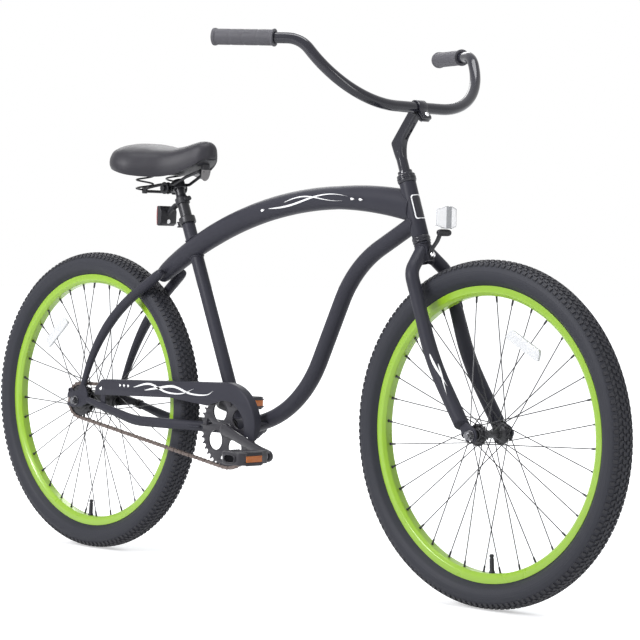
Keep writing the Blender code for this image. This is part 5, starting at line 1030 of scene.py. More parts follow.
def makePedal(name, side):
    tread, end, half, height, lampHalf, lampHeight = (
        pedalPlan[key] for key in ("tread", "end", "half", "height", "lampHalf", "lampHeight"))
    centre = crankCentre + crankDirection(side) * crankPlan["length"] + across * side * crankPlan["tipY"]
    body, neck, out = f"pedal_{name}", pedalPlan["neck"], across * side
    parts = [pedalBody(side, centre)]
    # teeth along the upper and lower edges of both tread bars
    tooth = [(0, 0), (0.0026, 0), (0.0020, 0.0017), (0, 0.0020)]
    for way, level in ((-1, -1), (-1, 1), (1, -1), (1, 1)):
        for at in np.linspace(tread + 0.006, end - 0.017, 7):
            foot = centre + [way * (half - 0.0032), side * at, level * (height - 0.0004)]
            parts.append(knobPart(tooth, foot, aloft * level, 10, 0.0004, 2))
    # the bearing barrel and the oval end with its recess
    barrel = [(0.0054, neck), (0.0112, neck), (0.0120, neck + 0.003), (0.0104, tread), (0.0104, end - 0.010),
              (0.0054, end - 0.010)]
    cap = roundSection(0.0142, 0.0068, 40, 3.0)[0]
    rings = [np.stack([cap[:, 0] * scale, np.full(40, side * (end + level)), cap[:, 1] * scale], -1) + centre
             for scale, level in ((1.24, -0.001), (1.20, 0.0030), (1.14, 0.0036), (1.04, 0.0034), (0.98, 0.0004),
                                  (0.80, 0.0003))]
    parts += [ringPart(barrel, centre, out, 40, 0.001), sheetPart(np.array(rings))]
    addPiece(f"pedalBody{name.title()}", parts, body, pedalPlastic, [body], 35)
    # a near-black sheet just inside the end's recess: painted shade
    addPiece(f"pedalRecessShade{name.title()}", [sheetPart(np.array(rings[-2:]) + out * 0.0002)], body, recessShadeBlack)
    lamps, frames = [], []
    for way in (-1, 1):
        face = centre + [way * half, side * ((tread + end) / 2 - 0.0035), 0]
        lamps.append(blockPart(face - [way * 0.0020, lampHalf, lampHeight],
                               face + [way * 0.0014, lampHalf, lampHeight], 0.0009))
        for level in (-1, 1):
            edge, size = face + aloft * level * (lampHeight + 0.0014), [0.0016, lampHalf + 0.003, 0.0012]
            frames.append(blockPart(edge - size, edge + size, 0.0006))
    addPiece(f"pedalLamps{name.title()}", lamps, body, amberLens)
    addPiece(f"pedalFrames{name.title()}", frames, body, pedalPlastic)
    h, tail = crankPlan["halfThick"], end - 0.0120
    axle = [(0, -h), (0.0058, -h), (0.0066, 0.0008 - h), (0.0066, h + 0.0003), (0.0088, h + 0.0003),
            (0.0088, h + 0.0050), (0.0070, h + 0.0056), (0.0048, h + 0.0060), (0.0048, tail), (0, tail)]
    socket = hexPart(0.0060, *spread(centre, -side * (h + 0.0004), -side * (h - 0.001)))
    addPiece(f"pedalAxle{name.title()}", [knobPart(axle, centre, out, 32, 0.0004, 2), socket], "crank", darkZinc,
             [f"pedal_axle_{name}"])


axlePlan = dict(front=dict(at=frontAxle, body="fork", half=0.0680, inner=0.05025, outer=0.05475,
                           cones=(0.0421, 0.0421)),
                rear=dict(at=rearAxle, body="frame", half=0.0740, inner=tubes["dropout"][0],
                          outer=tubes["dropout"][1], cones=(0.0511, 0.0465)), thread=0.0048, cut=0.00035)


def makeAxle(end):
    plan, thread, cut = axlePlan[end], axlePlan["thread"], axlePlan["cut"]
    at, half, stop, (right, left) = plan["at"], plan["half"], plan["inner"] - 0.0003, plan["cones"]
    # threads: r = 4.8 - 0.35 |saw| mm over the bare ends
    bare = np.linspace(half - 0.0008, plan["outer"] + 0.008, 24)
    crest = [(thread - cut * (k % 2), y) for k, y in enumerate(bare)]
    profile = [(0, -half), (thread - 0.0008, -half)] + [(r, -y) for r, y in crest]
    profile += [(thread, -stop), (0.0078, -stop), (0.0082, -stop + 0.0006), (0.0082, -right), (thread, -right),
                (thread, left), (0.0082, left), (0.0082, stop - 0.0006), (0.0078, stop), (thread, stop)]
    profile += crest[::-1] + [(thread - 0.0008, half), (0, half)]
    addPiece(f"{end}AxleRod", [turnedPart(profile, at, across, 32, False)], plan["body"], darkZinc, [f"{end}_axle"])
    for name, side in sides:
        face = at + across * side * (plan["outer"] + 0.0003)
        washer = sleevePart(0.0103, 0.0052, *spread(face, 0, side * 0.0017), 48, 0.0003)
        nut = hexPart(0.0150, *spread(face, side * 0.0019, side * 0.0095), 0.0052)
        addPiece(f"{end}AxleNut{name.title()}", [washer, nut], plan["body"], darkZinc, [f"{end}_axle_nut_{name}"])


def makeBrakeArm():
    # a flat arm from the axle to a clip round the left chain stay
    y, stay = 0.0440, chainStayPath(1)
    at = int(np.argmin(np.abs(stay[:, 0] - (rearAxle[0] + 0.086))))
    tip = stay[at]
    line = tip * [1, 0, 1] + aloft * 0.0060 - rearAxle * [1, 0, 1]
    out, reach = unit(line), np.linalg.norm(line)
    ends = [(math.cos(a) * 0.0165, math.sin(a) * 0.0165) for a in np.linspace(math.pi / 2, 3 * math.pi / 2, 20)]
    ends += [(reach + 0.004, -0.0060), (reach + 0.0065, -0.003), (reach + 0.0065, 0.003), (reach + 0.004, 0.0060)]
    corners = np.array([rearAxle + out * a + np.cross(across, out) * b for a, b in ends])[:, [0, 2]]
    arm = flatPart([corners, circleOutline(rearAxle, 0.0052, 24)], y, y + 0.0022, 0.0003)
    ahead = unit(stay[at + 1] - stay[at - 1])
    width, depth = (float(np.interp(at / len(stay), *np.array(tubes[key]).T)) + 0.0006
                    for key in ("stayWidths", "stayHeights"))
    run = np.array([tip - ahead * 0.0060, tip, tip + ahead * 0.0060])
    bands = [carried(run, roundSection(width + grow, depth + grow, 40)) for grow in (0.0020, 0.0)]
    clip = pliesPart(*(np.concatenate([band, band[:, :1]], 1) for band in bands))
    tab = blockPart((tip[0] - 0.0060, y + 0.0004, tip[2] - 0.0040),
                    (tip[0] + 0.0060, tip[1] - width + 0.001, tip[2] + 0.0040))
    screw = hexPart(0.0080, *spread(tip + aloft * 0.0010, -0.0150, -0.0185))
    addPiece("brakeArm", [arm, clip, tab, screw], "frame", blackSteel, ["coaster_brake_arm"], 35)


makeGuard()
makeChain()
makeSprockets()
makeCrank()
for name, side in sides:
    makePedal(name, side)
for end in ("front", "rear"):
    makeAxle(end)
makeBrakeArm()
print("drive made")


# Fork, headset, stem, bar and front reflector

frontPlan = dict(crownRadius=0.0155, crownLow=0.3660, crownHigh=0.4025, steererTop=0.5545, legSpan=0.0525,
                 legs=[(0, 0.0135), (0.42, 0.0136), (0.56, 0.0146), (1, 0.0146)], halfPlate=0.00225,
                 barReach=0.0741, barHeight=0.6638, barRadius=0.0111, gripLength=0.1265, gripRadius=0.0158,
                 gripEnd=0.0062)
clampCentre = steerPoint(frontPlan["barReach"], 0, frontPlan["barHeight"])


def forkLegPath(side):
    span = frontPlan["legSpan"]
    return roundedPath([steerPoint(0, side * 0.004, 0.3935), steerPoint(0, side * span, 0.3465),
                        steerPoint(0, side * (span - 0.0005), 0.1650), steerPoint(0.0355, side * span, 0.0235)],
                       [0.040, 0.450])


def makeFork():
    r, low, high, top, span = (
        frontPlan[key] for key in ("crownRadius", "crownLow", "crownHigh", "steererTop", "legSpan"))
    column = [(0.0114, low), (r, low), (r, high), (0.0175, high), (0.0170, high + 0.0026), (0.0127, high + 0.0026),
              (0.0127, top), (0.0114, top)]
    addPiece("forkSteerer", [ringPart(column, steerFoot, steerUp)], "fork", charcoal, ["fork_steerer"])
    crownLine = np.stack([steerPoint(0, 0, 0.34), steerPoint(0, 0, 0.43)])
    blade = [(-0.034, 0.0230), (-0.020, 0.0285), (0.0100, 0.0125), (0.0145, 0.0010), (0.0120, -0.0120),
             (0.0052, -0.0150)]
    tail = [(-0.0052, -0.0150), (-0.0120, -0.0110), (-0.0150, -0.0060), (-0.0185, -0.0068), (-0.0238, -0.0015),
            (-0.0232, 0.0030), (-0.0270, 0.0100)]
    slot = turnPoints(0.0052, np.linspace(0, math.pi, 15))[:, [0, 2]]
    outline = np.vstack([softened(blade, 0.003)[2:-2], slot, softened(tail, 0.003)[2:-2]]) + frontAxle[[0, 2]]
    outlines, half = [outline, circleOutline(frontAxle + [-0.0185, 0, -0.0015], 0.0026, 20)], frontPlan["halfPlate"]
    welds = []
    for name, side in sides:
        path = forkLegPath(side)
        grid = tubeGrid(path, frontPlan["legs"])
        # the foot is cut at a slant, its outer edge the higher: shift = -0.5 * (outward offset) - 0.001
        slant = np.clip(1 - np.arange(len(path))[::-1] / 9, 0, 1)[:, None]
        shift = slant * (side * (grid[..., 1] - path[:, None, 1]) * -0.5 - 0.001)
        grid += unit(path[-1] - path[-4]) * shift[..., None]
        welds.append(weldPart(grid[:24], crownLine, r))
        rim = shrunk(grid[-1], path[-1] - path[-2], [(0.985, 0.0002), (0.95, 0.0004)])
        plate = flatPart(outlines, side * (span - half), side * (span + half), 0.0005)
        addPiece(f"forkLeg{name.title()}", [sheetPart(np.concatenate([grid, rim])), plate], "fork", charcoal,
                 [f"fork_leg_{name}"], 40)
    addPiece("forkWelds", welds, "fork", charcoal, smooth=70)
    dome = [(0, 0), (0.0062, 0), (0.0062, 0.0012), (0.0050, 0.0034), (0.0028, 0.0046), (0, 0.0050)]
    addPiece("crownBolt", [knobPart(dome, steerPoint(r + 0.0036, 0, 0.3760), steerAhead)], "fork", zinc)

    # headset: the lower cup hangs under the head tube, the upper cup and the locknut stand on it
    lower = [(0.0137, -0.0140), (0.0165, -0.0140), (0.0182, -0.0122), (0.0182, -0.0094), (0.0174, -0.0090),
             (0.0174, -0.0078), (0.0184, -0.0070), (0.0184, -0.0038), (0.0172, -0.0003), (0.0147, -0.0003),
             (0.0147, 0.010), (0.0137, 0.010)]
    upper = [(0.0137, 0.0075), (0.0186, 0.0075), (0.0192, 0.0068), (0.0192, 0.0040), (0.0176, 0.0003),
             (0.0147, 0.0003), (0.0147, -0.010), (0.0137, -0.010)]
    lock = top + 0.0003 - headHigh
    nut = [(0.0130, 0.0078), (0.0190, 0.0078), (0.0193, 0.0088), (0.0193, 0.0106), (0.0180, 0.0114),
           (0.0180, 0.0122), (0.0186, 0.0128), (0.0186, 0.0158), (0.0160, 0.0170), (0.0148, 0.0188),
           (0.0145, 0.0243), (0.0116, 0.0243), (0.0116, lock), (0.0130, lock)]
    for name, section, level, body, soft, node in (
            ("lowerCup", lower, headLow, "frame", 0.0005, "headset_lower_cup"),
            ("upperCup", upper, headHigh, "frame", 0.0005, "headset_upper_cup"),
            ("lockNut", nut, headHigh, "fork", 0.0004, "headset_locknut")):
        ring = ringPart(section, steerPoint(0, 0, level), steerUp, soft=soft)
        addPiece(name, [ring], body, glossBlack, [node])


def makeStem():
    # a round quill, and an arm with a sharp heel, a curved throat and a groove in its under side
    quill = [(0, 0.4500), (0.0110, 0.4500), (0.0110, 0.5980), (0.0104, 0.6060), (0, 0.6100)]
    throat = roundedPath([(0.0112, 0, 0.5840), (0.0106, 0, 0.6095), (0.0780, 0, 0.6545)], [0.045], 0.002)
    heel = roundedPath([(-0.0112, 0, 0.5840), (-0.0120, 0, 0.6215), (0.0690, 0, 0.6745)], [0.006], 0.002)
    rows = []
    for share, front, back in zip(np.linspace(0, 1, 72), through(throat, 72), through(heel, 72)):
        # the groove: depth = 1.4 (1 - ((s - 0.54)/0.21)^2 - (y/0.0064)^2), held between 0 and 0.26
        grown = min(share / 0.25, 1)
        ring = roundSection(0.0112 - 0.0010 * grown, 1.0, 80, 2 + 2.6 * grown)[0]
        groove = 1 - ((share - 0.54) / 0.21) ** 2 - (ring[:, 0] / 0.0064) ** 2
        depth = ring[:, 1] - np.clip(groove * 1.4, 0, 0.26) * (ring[:, 1] > 0)
        plane = (front + back) / 2 + (front - back) / 2 * depth[:, None]
        rows.append(steerFoot + plane[:, :1] * steerAhead + plane[:, 2:] * steerUp + ring[:, :1] * across)
    # the clamp: a split ring whose two lips are drawn together by a bolt
    out = unit(steerAhead * 0.356 - steerUp * 0.935)
    over = np.cross(across, out)
    ring, bore = np.radians(np.linspace(33, 327, 44)), np.radians(np.linspace(-5, -355, 40))
    outline = np.vstack([turnPoints(0.0148, ring)[:, [0, 2]],
                         [(0.0290, -0.0072), (0.0325, -0.0050), (0.0325, -0.0009)],
                         turnPoints(0.0112, bore)[:, [0, 2]],
                         [(0.0325, 0.0009), (0.0325, 0.0050), (0.0290, 0.0072)]])
    outline = (clampCentre + outline[:, :1] * out + outline[:, 1:] * over)[:, [0, 2]]
    parts = [knobPart(quill, steerFoot, steerUp, 48, 0.001), sheetPart(np.array(rows)),
             flatPart([outline], -0.0120, 0.0120, 0.0008)]
    addPiece("stemForging", parts, "stem", glossBlack, ["stem"], 35)
    dome = [(0, 0), (0.0050, 0), (0.0050, 0.0018), (0.0040, 0.0036), (0, 0.0044)]
    bolt = [knobPart(dome, clampCentre + out * 0.0250 + over * way * 0.0076, over * way) for way in (-1, 1)]
    addPiece("stemBolt", bolt, "stem", zinc)


def barPath():
    corners = []
    for side in (-1, 1):
        wrist = clampCentre + [-0.0827, side * 0.2472, 0.1225]
        end = clampCentre + [-0.2485, side * 0.3252, 0.1280]
        corners.append([end + unit(wrist - end) * 0.0042, wrist, clampCentre + [0, side * 0.1915, 0]])
    return roundedPath(corners[0] + corners[1][::-1], [0.059, 0.184, 0.184, 0.059])


def makeBar():
    path = barPath()
    addPiece("barTube", [tubePart(path, frontPlan["barRadius"], None, 40, aloft)], "handlebar", glossBlack,
             ["handlebar"], 60)
    length, r, edge = frontPlan["gripLength"], frontPlan["gripRadius"], frontPlan["gripEnd"]
    # fine rings: r = 15.8 - 0.3 sin^2 mm between flanged ends, in four bands
    at = np.linspace(edge, length - edge, 200)
    band = (at - edge) / (length - 2 * edge) * 4
    seam = np.exp(-((band - np.round(band)) * 14) ** 2) * 0.0004 * ((band > 0.2) & (band < 3.8))
    rings = np.stack([r - 0.00030 * np.sin(at * math.pi / 0.0021) ** 2 - seam, at], -1)
    head = softened([(0, -0.0042), (0.0035, -0.0042), (0.0120, -0.0040), (0.0172, -0.0020), (0.0174, 0.0030),
                     (0.0160, 0.0052)], 0.0010, 3, False)
    tail = softened([(0.0160, length - 0.0052), (0.0174, length - 0.0030), (0.0174, length), (0.0113, length),
                     (0.0113, 0.0002), (0, 0.0002)], 0.0010, 3, False)
    for name, end, inner in (("left", path[-1], path[-3]), ("right", path[0], path[2])):
        grip = turnedPart(np.vstack([head, rings, tail]), end, inner - end, 48, False)
        addPiece(f"gripSleeve{name.title()}", [grip], "handlebar", gripRubber, [f"grip_{name}"], 40)


def makeFrontReflector():
    r = frontPlan["crownRadius"] + 0.0018
    path = [(r, 0.3690), (r, 0.3850), (0.0385, 0.3965), (0.0545, 0.4110)]
    line = roundedPath([steerPoint(a, 0, u) for a, u in path], [0.006, 0.012], 0.0015, 8)
    foot = steerPoint(0.0700, 0, 0.4120)
    # the ribbed shelf: r = 7.0 - 0.7 |sin| mm along its length, drawn in at both ends
    at = np.linspace(-0.0185, 0.0185, 75)
    end = np.sqrt(np.clip(1 - (np.abs(at) / 0.0186) ** 6, 0, 1))
    radius = (0.0070 - 0.0007 * np.abs(np.sin(at * math.pi / 0.0032))) * end
    shelf = turnedPart(np.stack([radius, at], -1), foot + [-0.0065, 0, -0.0078], across, 32, False)
    addPiece("reflectorBracket", [tubePart(line, 0.0060, 0.0015, power=4.0), shelf], "fork", blackPlastic,
             ["front_reflector_bracket"], 40)
    # columns of the lens: across, how far it bows forward, its lower and its upper edge
    corner = foot + [0, 0, 0.0003]
    columns = [(-0.0285, -0.0010, 0.0056, 0.0376), (-0.0262, 0.0006, 0.0044, 0.0388), (-0.0075, 0.0060, 0, 0.0430),
               (0.0075, 0.0060, 0, 0.0430), (0.0262, 0.0006, 0.0044, 0.0388), (0.0285, -0.0010, 0.0056, 0.0376)]
    front = np.array([[(bow, y, low + (high - low) * k) for k in (0, 0.05, 0.95, 1)]
                      for y, bow, low, high in columns]) + corner
    front[:, [0, 3], 0] -= 0.0008
    back = front.copy()
    back[..., 0] = corner[0] - 0.0080
    addPiece("frontLens", [pliesPart(front, back)], "fork", clearLens, ["front_reflector"], 12)
    pane = np.array([[(0.0060, y, z) for z in (0.0006, 0.0424)] for y in (-0.0073, 0.0073)]) + corner
    addPiece("frontLensRibs", [pliesPart(pane + [0.0003, 0, 0], pane)], "fork", ribbedLens)
    edge = [(bow, y, high) for y, bow, low, high in columns]
    edge += [(bow, y, low) for y, bow, low, high in columns[::-1]]
    addPiece("lensRim", [tubePart(corner + [0.0001, 0, 0] + edge, 0.00055, count=8, looped=True)], "fork",
             lensRim, smooth=60)


makeFork()
makeStem()
makeBar()
makeFrontReflector()
print("front made")


# Seat

seatPlan = dict(neckAt=0.5360, postTop=0.5780, tiltAt=0.5660, tiltBehind=0.0165, postFoot=0.3450, collarAt=0.4825,
                rail=0.0034, railHalf=0.0215, coil=0.0185, wire=0.0020, turns=2.0, panLift=0.0431,
                noseAhead=0.0944, noseLift=0.0351)
tiltAxis = seatPoint(-seatPlan["tiltBehind"], 0, seatPlan["tiltAt"])
nosePoint = tiltAxis + [seatPlan["noseAhead"], 0, seatPlan["noseLift"]]
springFoot = np.array([-0.38582, 0.04295, 0.81107])
saddleStations = [
    # ahead, half width, top and lower edge, from the tail to the nose
    (-0.1272, 0.0010, 0.0665, 0.0640), (-0.1260, 0.0240, 0.0705, 0.0595),
    (-0.1232, 0.0460, 0.0775, 0.0540), (-0.1166, 0.0765, 0.0880, 0.0485), (-0.0996, 0.1010, 0.0971, 0.0426),
    (-0.0696, 0.1160, 0.0991, 0.0351), (-0.0376, 0.1120, 0.0941, 0.0271), (-0.0056, 0.0900, 0.0891, 0.0231),
    (0.0264, 0.0650, 0.0881, 0.0236), (0.0564, 0.0490, 0.0921, 0.0301), (0.0824, 0.0385, 0.0981, 0.0411),
    (0.0984, 0.0330, 0.1006, 0.0491), (0.1104, 0.0275, 0.0998, 0.0571), (0.1194, 0.0190, 0.0955, 0.0641),
    (0.1238, 0.0105, 0.0900, 0.0700), (0.1256, 0.0010, 0.0815, 0.0790)]


def makePost():
    foot, neck, top = seatPlan["postFoot"], seatPlan["neckAt"], seatPlan["postTop"]
    outer = [(0.0107, foot), (0.0127, foot), (0.0127, neck), (0.0111, neck + 0.0060), (0.0111, top), (0.0091, top),
             (0.0091, neck), (0.0107, neck - 0.0040)]
    ring = [(0.0128, neck - 0.0060), (0.0131, neck - 0.0056), (0.0131, neck - 0.0004), (0.0128, neck)]
    addPiece("seatPost", [ringPart(outer, seatFoot, seatUp)], "seat_post", blackSteel, ["seat_post"], 40)
    addPiece("postCollar", [ringPart(ring, seatFoot, seatUp, soft=0.0002)], "seat_post", charcoal)
    # frame collar: a band with an ear whose bolt crosses behind the tube
    band = [(0.0146, -0.0075), (0.0176, -0.0075), (0.0182, -0.0060), (0.0182, 0.0060), (0.0176, 0.0075),
            (0.0146, 0.0075)]
    ear = seatPoint(-0.0235, 0, seatPlan["collarAt"])
    parts = [ringPart(band, seatPoint(0, 0, seatPlan["collarAt"]), seatUp),
             rodPart(0.0066, *spread(ear, -0.0085, -0.0012), 32, 0.0009),
             rodPart(0.0066, *spread(ear, 0.0012, 0.0085), 32, 0.0009),
             rodPart(0.0030, *spread(ear, -0.0012, 0.0012), 16)]
    addPiece("seatCollar", parts, "frame", blackSteel, ["seat_clamp"], 40)
    bolt = [rodPart(0.0042, *spread(ear, -0.0080, -0.0122), 28, 0.0008),
            hexPart(0.0080, *spread(ear, 0.0086, 0.0120))]
    addPiece("seatCollarBolt", bolt, "frame", zinc)


def sawRadius(angle, profile):
    # serrations: every second step round the outer ring lies 0.6 mm lower
    radius = profile[None, :, 0] + 0 * angle[:, None]
    return np.where(radius > 0.0125, radius - 0.0006 * (np.arange(len(angle)) % 2)[:, None], radius)


def makeSaddleClamp():
    half = 0.0090
    band = [(0.0114, -half), (0.0145, -half), (0.0150, 0.001 - half), (0.0150, half - 0.001), (0.0145, half),
            (0.0114, half)]
    ear = rodPart(0.0088, *spread(tiltAxis, -0.0148, 0.0148), 40, 0.001)
    ring = ringPart(band, seatPoint(0, 0, seatPlan["tiltAt"]), seatUp, 48, 0.0005)
    addPiece("saddleClampBand", [ring, ear], "seat_post", blackSteel, ["saddle_clamp_band"], 40)
    # two pairs of serrated jaws, r = 13.4 mm where they meet, on one bolt with a nut at each end
    parts = []
    near, far = seatPlan["railHalf"] - 0.0037, seatPlan["railHalf"] + 0.0037
    for side in (-1, 1):
        for start, end in ((0.0154, near), (far, 0.0290)):
            profile = [(0.0045, start), (0.0120, start), (0.0134, start + 0.0008), (0.0134, end - 0.0006),
                       (0.0120, end), (0.0045, end)]
            parts.append(turnedPart(softened(profile, 0.0006, 2), tiltAxis, across * side, 60, True, sawRadius))
    parts.append(rodPart(0.0040, *spread(tiltAxis, -0.0300, 0.0300)))
    parts += [hexPart(0.0125, *spread(tiltAxis, side * 0.0292, side * 0.0340)) for side in (-1, 1)]
    addPiece("saddleJaws", parts, "saddle_frame", blackSteel, ["saddle_clamp_jaws"], 28)


def railPath():
    lift, wide = 0.0043 + seatPlan["rail"], seatPlan["railHalf"]
    half = [nosePoint - tiltAxis + [0, 0.0120, 0], (0.062, 0.0190, 0.0240), (0.026, wide, lift),
            (-0.021, wide, lift), (-0.0546, 0.0640, -0.0069)]
    corners = [nosePoint] + [tiltAxis + corner for corner in np.vstack([half, half[::-1] * np.array([1, -1, 1])])]
    radii = [0.006, 0.030, 0.020, 0.020, 0.012]
    return roundedPath(corners + [nosePoint], radii + radii[::-1], 0.0025, 12)[:-1]


def springPath(side):
    # out from the bolt, two turns of a helix, then straight up to the pan
    r, high = seatPlan["coil"], tiltAxis[2] + seatPlan["panLift"] - 0.0003 - springFoot[2]
    first = math.radians(22)
    angle = first + 2 * math.pi * seatPlan["turns"] * np.linspace(0, 1, 90)
    coil = np.stack([r * np.cos(angle), r * np.sin(angle), np.linspace(0.0018, high - 0.0075, 90)], -1)
    start = [(0.0064, 0, 0), (0.0100, 0, 0), (0.0142, 0.0008, 0.0004)]
    ahead = np.array([-math.sin(first), math.cos(first), 0])
    end = [coil[-1] + ahead * 0.0024 + aloft * 0.0016, coil[-1] + ahead * 0.0032 + aloft * 0.0035,
           (coil[-1] + ahead * 0.0032) * [1, 1, 0] + aloft * high]
    run = np.vstack([through(np.vstack([start, coil[:1]]), 10)[:-1], coil,
                     through(np.vstack([coil[-1:], end]), 12)[1:]])
    return springFoot * [1, side, 1] + np.stack([-run[:, 1], side * run[:, 0], run[:, 2]], -1)


def makeRails():
    rails = [tubePart(railPath(), seatPlan["rail"], None, 16, aloft, looped=True)]
    bolt = [(0, -0.0085), (0.0048, -0.0085), (0.0062, -0.0070), (0.0062, 0.0036), (0.0050, 0.0050), (0, 0.0054)]
    rails += [knobPart(bolt, springFoot * [1, side, 1], aloft, soft=0.0008) for side in (-1, 1)]
    addPiece("saddleRails", rails, "saddle_frame", blackSteel, ["saddle_rails"], 40)
    # the springs stay unattached, in place; the saddle and the points given as bend are not used
    low, high = springFoot[2] + 0.004, tiltAxis[2] + seatPlan["panLift"] - 0.004
    for name, side in sides:
        coil = tubePart(springPath(side), seatPlan["wire"], None, 14, np.array([0.2, 0, 1.0]))
        addPiece(f"saddleSpring{name.title()}", [coil], "saddle_frame", blackSteel, [f"saddle_spring_{name}"], 50,
                 bend=("saddle", [springFoot[0], 0, low], [springFoot[0], 0, high]))


def recess(skirt, step):
    # the level of the hollow under the cover, a quarter of the way from the skirt to the pan
    return skirt + 0.25 * (seatPlan["panLift"] + 0.004 - skirt) + step


def saddleSection(half, top, skirt):
    # from the crown round the bulging side to the lip, then up into the recess
    side = np.array([(0.0, 0), (0.20, 0.004), (0.40, 0.04), (0.66, 0.14), (0.88, 0.32), (0.985, 0.60), (1.0, 0.85),
                     (0.965, 1.0)]) * [1, skirt - top] + [0, top]
    outer = through(np.vstack([side[:0:-1] * [-1, 1], side]), 66)
    under = np.array([(0.90, skirt + 0.0008), (0.86, recess(skirt, 0.002))])
    inner = np.vstack([under, [[0.0, under[-1, 1]]], under[::-1] * [-1, 1]])
    return np.vstack([outer, inner]) * [half, 1]


def makeSaddle():
    rows = []
    for ahead, half, top, skirt in through(saddleStations, 110):
        section = saddleSection(max(half, 0.0006), top, skirt)
        rows.append(tiltAxis + np.c_[np.full(len(section), ahead), section])
    cover = addPiece("saddleCover", [sheetPart(np.array(rows))], "saddle", saddleVinyl, ["saddle_cover"], 50)
    plates = [[(ahead, half * 0.83 * y, recess(skirt, 0.0030) - drop)
               for y, drop in ((-1, 0), (-0.5, 0.0012), (0, 0.0016), (0.5, 0.0012), (1, 0))]
              for ahead, half, top, skirt in through(saddleStations[2:-2], 40)]
    upper, n = tiltAxis + plates, nosePoint
    parts = [pliesPart(upper, upper - [0, 0, 0.0022]),
             sleevePart(0.0072, 0.0037, *spread(n, -0.0055, 0.0055), 32, 0.0006),
             blockPart((n[0] + 0.0050, -0.0100, n[2] - 0.0020), (n[0] + 0.0130, 0.0100, n[2] + 0.0170), 0.0020)]
    top = [(0, -0.0010), (0.0058, -0.0010), (0.0058, 0.0016), (0.0046, 0.0060), (0, 0.0060)]
    parts += [knobPart(top, springPath(side)[-1], aloft, 28, 0.0008) for side in (-1, 1)]
    addPiece("saddlePan", parts, "saddle", blackPlastic, ["saddle_pan"], 35)
    # a grey tongue under the nose, tapering to a round tip
    turn = np.linspace(0, 2 * math.pi, 24, endpoint=False)
    rows = []
    for t in np.linspace(0, 1, 20):
        width = 0.0125 * math.sqrt(1 - t**3) + 0.0004
        rows.append(n + np.stack([0.0120 - 0.0050 * t + (0.0022 - 0.0006 * t) * np.sin(turn), width * np.cos(turn),
                                  np.full(24, 0.0040 - 0.0240 * t)], -1))
    addPiece("noseTongue", [sheetPart(np.array(rows))], "saddle", greyMoulding, smooth=60)


def makeRearReflector():
    middle = seatPlan["neckAt"] - 0.0075
    band = [(0.0130, -0.0070), (0.0150, -0.0070), (0.0155, -0.0062), (0.0155, 0.0062), (0.0150, 0.0070),
            (0.0130, 0.0070)]
    start = seatPoint(-0.0140, 0, middle)
    back = start + [-0.0390, 0, -0.0265]
    run = through([start, start + [-0.0150, 0, -0.0070], start + [-0.0270, 0, -0.0150],
                   back + [0.004, 0, 0.002]], 24)
    outline = softened([(0.0065, -0.0165), (0.0080, 0.0100), (0.0020, 0.0215), (-0.0060, 0.0215),
                        (-0.0060, -0.0215), (-0.0010, -0.0225)], 0.0022, 4)
    parts = [ringPart(band, seatPoint(0, 0, middle), seatUp, 48, 0.0004),
             tubePart(run, 0.0056, 0.0042, 28, across, 3.0),
             flatPart([outline + back[[0, 2]]], -0.0230, 0.0230, 0.0016)]
    for x, z in ((-0.0090, -0.0045), (-0.0120, -0.0060), (-0.0150, -0.0080)):
        rib = start + [x, 0, z]
        parts.append(sleevePart(0.0062, 0.003, rib - [0.0006, 0, 0.0004], rib + [0.0006, 0, 0.0004], 24, 0.0002))
    parts += [rodPart(0.0052, seatPoint(0.0150, y, middle), seatPoint(0.0205, y, middle), 20)
              for y in (-0.0040, 0.0040)]
    addPiece("rearReflectorBody", parts, "seat_post", blackPlastic, ["rear_reflector_bracket"], 35)
    # the lens bulges by 3 (1 - 0.6 (y/21.5)^2) (1 - (z/20.5)^2) mm
    x = back[0] - 0.0063
    wide, tall = 0.0215, 0.0205
    y, z = np.meshgrid(np.linspace(-wide, wide, 17), np.linspace(-tall, tall, 17), indexing="ij")
    bulge = 0.0030 * (1 - (y / wide) ** 2 * 0.6) * (1 - (z / tall) ** 2)
    face = np.stack([x - 0.0016 - bulge, y, back[2] + z], -1)
    plain = face.copy()
    plain[..., 0] = x + 0.0004
    addPiece("rearLens", [pliesPart(face, plain)], "seat_post", redLens, ["rear_reflector"], 30)
    nut = hexPart(0.0085, back + [0.0066, -0.0020, -0.0125], back + [0.0098, -0.0020, -0.0125])
    addPiece("rearReflectorNut", [nut], "seat_post", zinc)


makePost()
makeSaddleClamp()
makeRails()
makeSaddle()
makeRearReflector()
print("seat made")


# Painted lines and the head plate

ink = dict(skin=0.0002, gap=0.00002, topRadius=0.02365, legRadius=0.0147)


def leaf(share):
    return np.sin(math.pi * share**0.6)


def inkStroke(path, radius, begin, end, middle, half, face):
    # a leaf-shaped line on a tube; its angle is given along its own share of the path
    path = evenly(path, 0.002)
    path = path[int(begin * len(path)):int(end * len(path))]
    share = np.linspace(0, 1, len(path))
    width = np.maximum(half * leaf(share), 0.0005)[:, None]
    turn = face + middle(share)[:, None] + width * np.linspace(-1, 1, 7)
    ring = np.stack([np.cos(turn), np.sin(turn)], -1)
    return pliesPart(*(carried(path, ring * (radius + rise)) for rise in (ink["gap"] + ink["skin"], ink["gap"])))


def inkFlat(line, width):
    # a leaf-shaped line on the guard's face, from (x, z) points
    line, level = through(line, 60), guardPlan["outerY"] - ink["gap"]
    run = unit(np.gradient(line, axis=0))
    edge = np.stack([-run[:, 1], run[:, 0]], -1) * (width * leaf(np.linspace(0, 1, 60))[:, None] + 0.00008)
    outline = np.vstack([line + edge, (line - edge)[::-1]]) + crankCentre[[0, 2]]
    return flatPart([outline], level - ink["skin"], level, 0.00002)


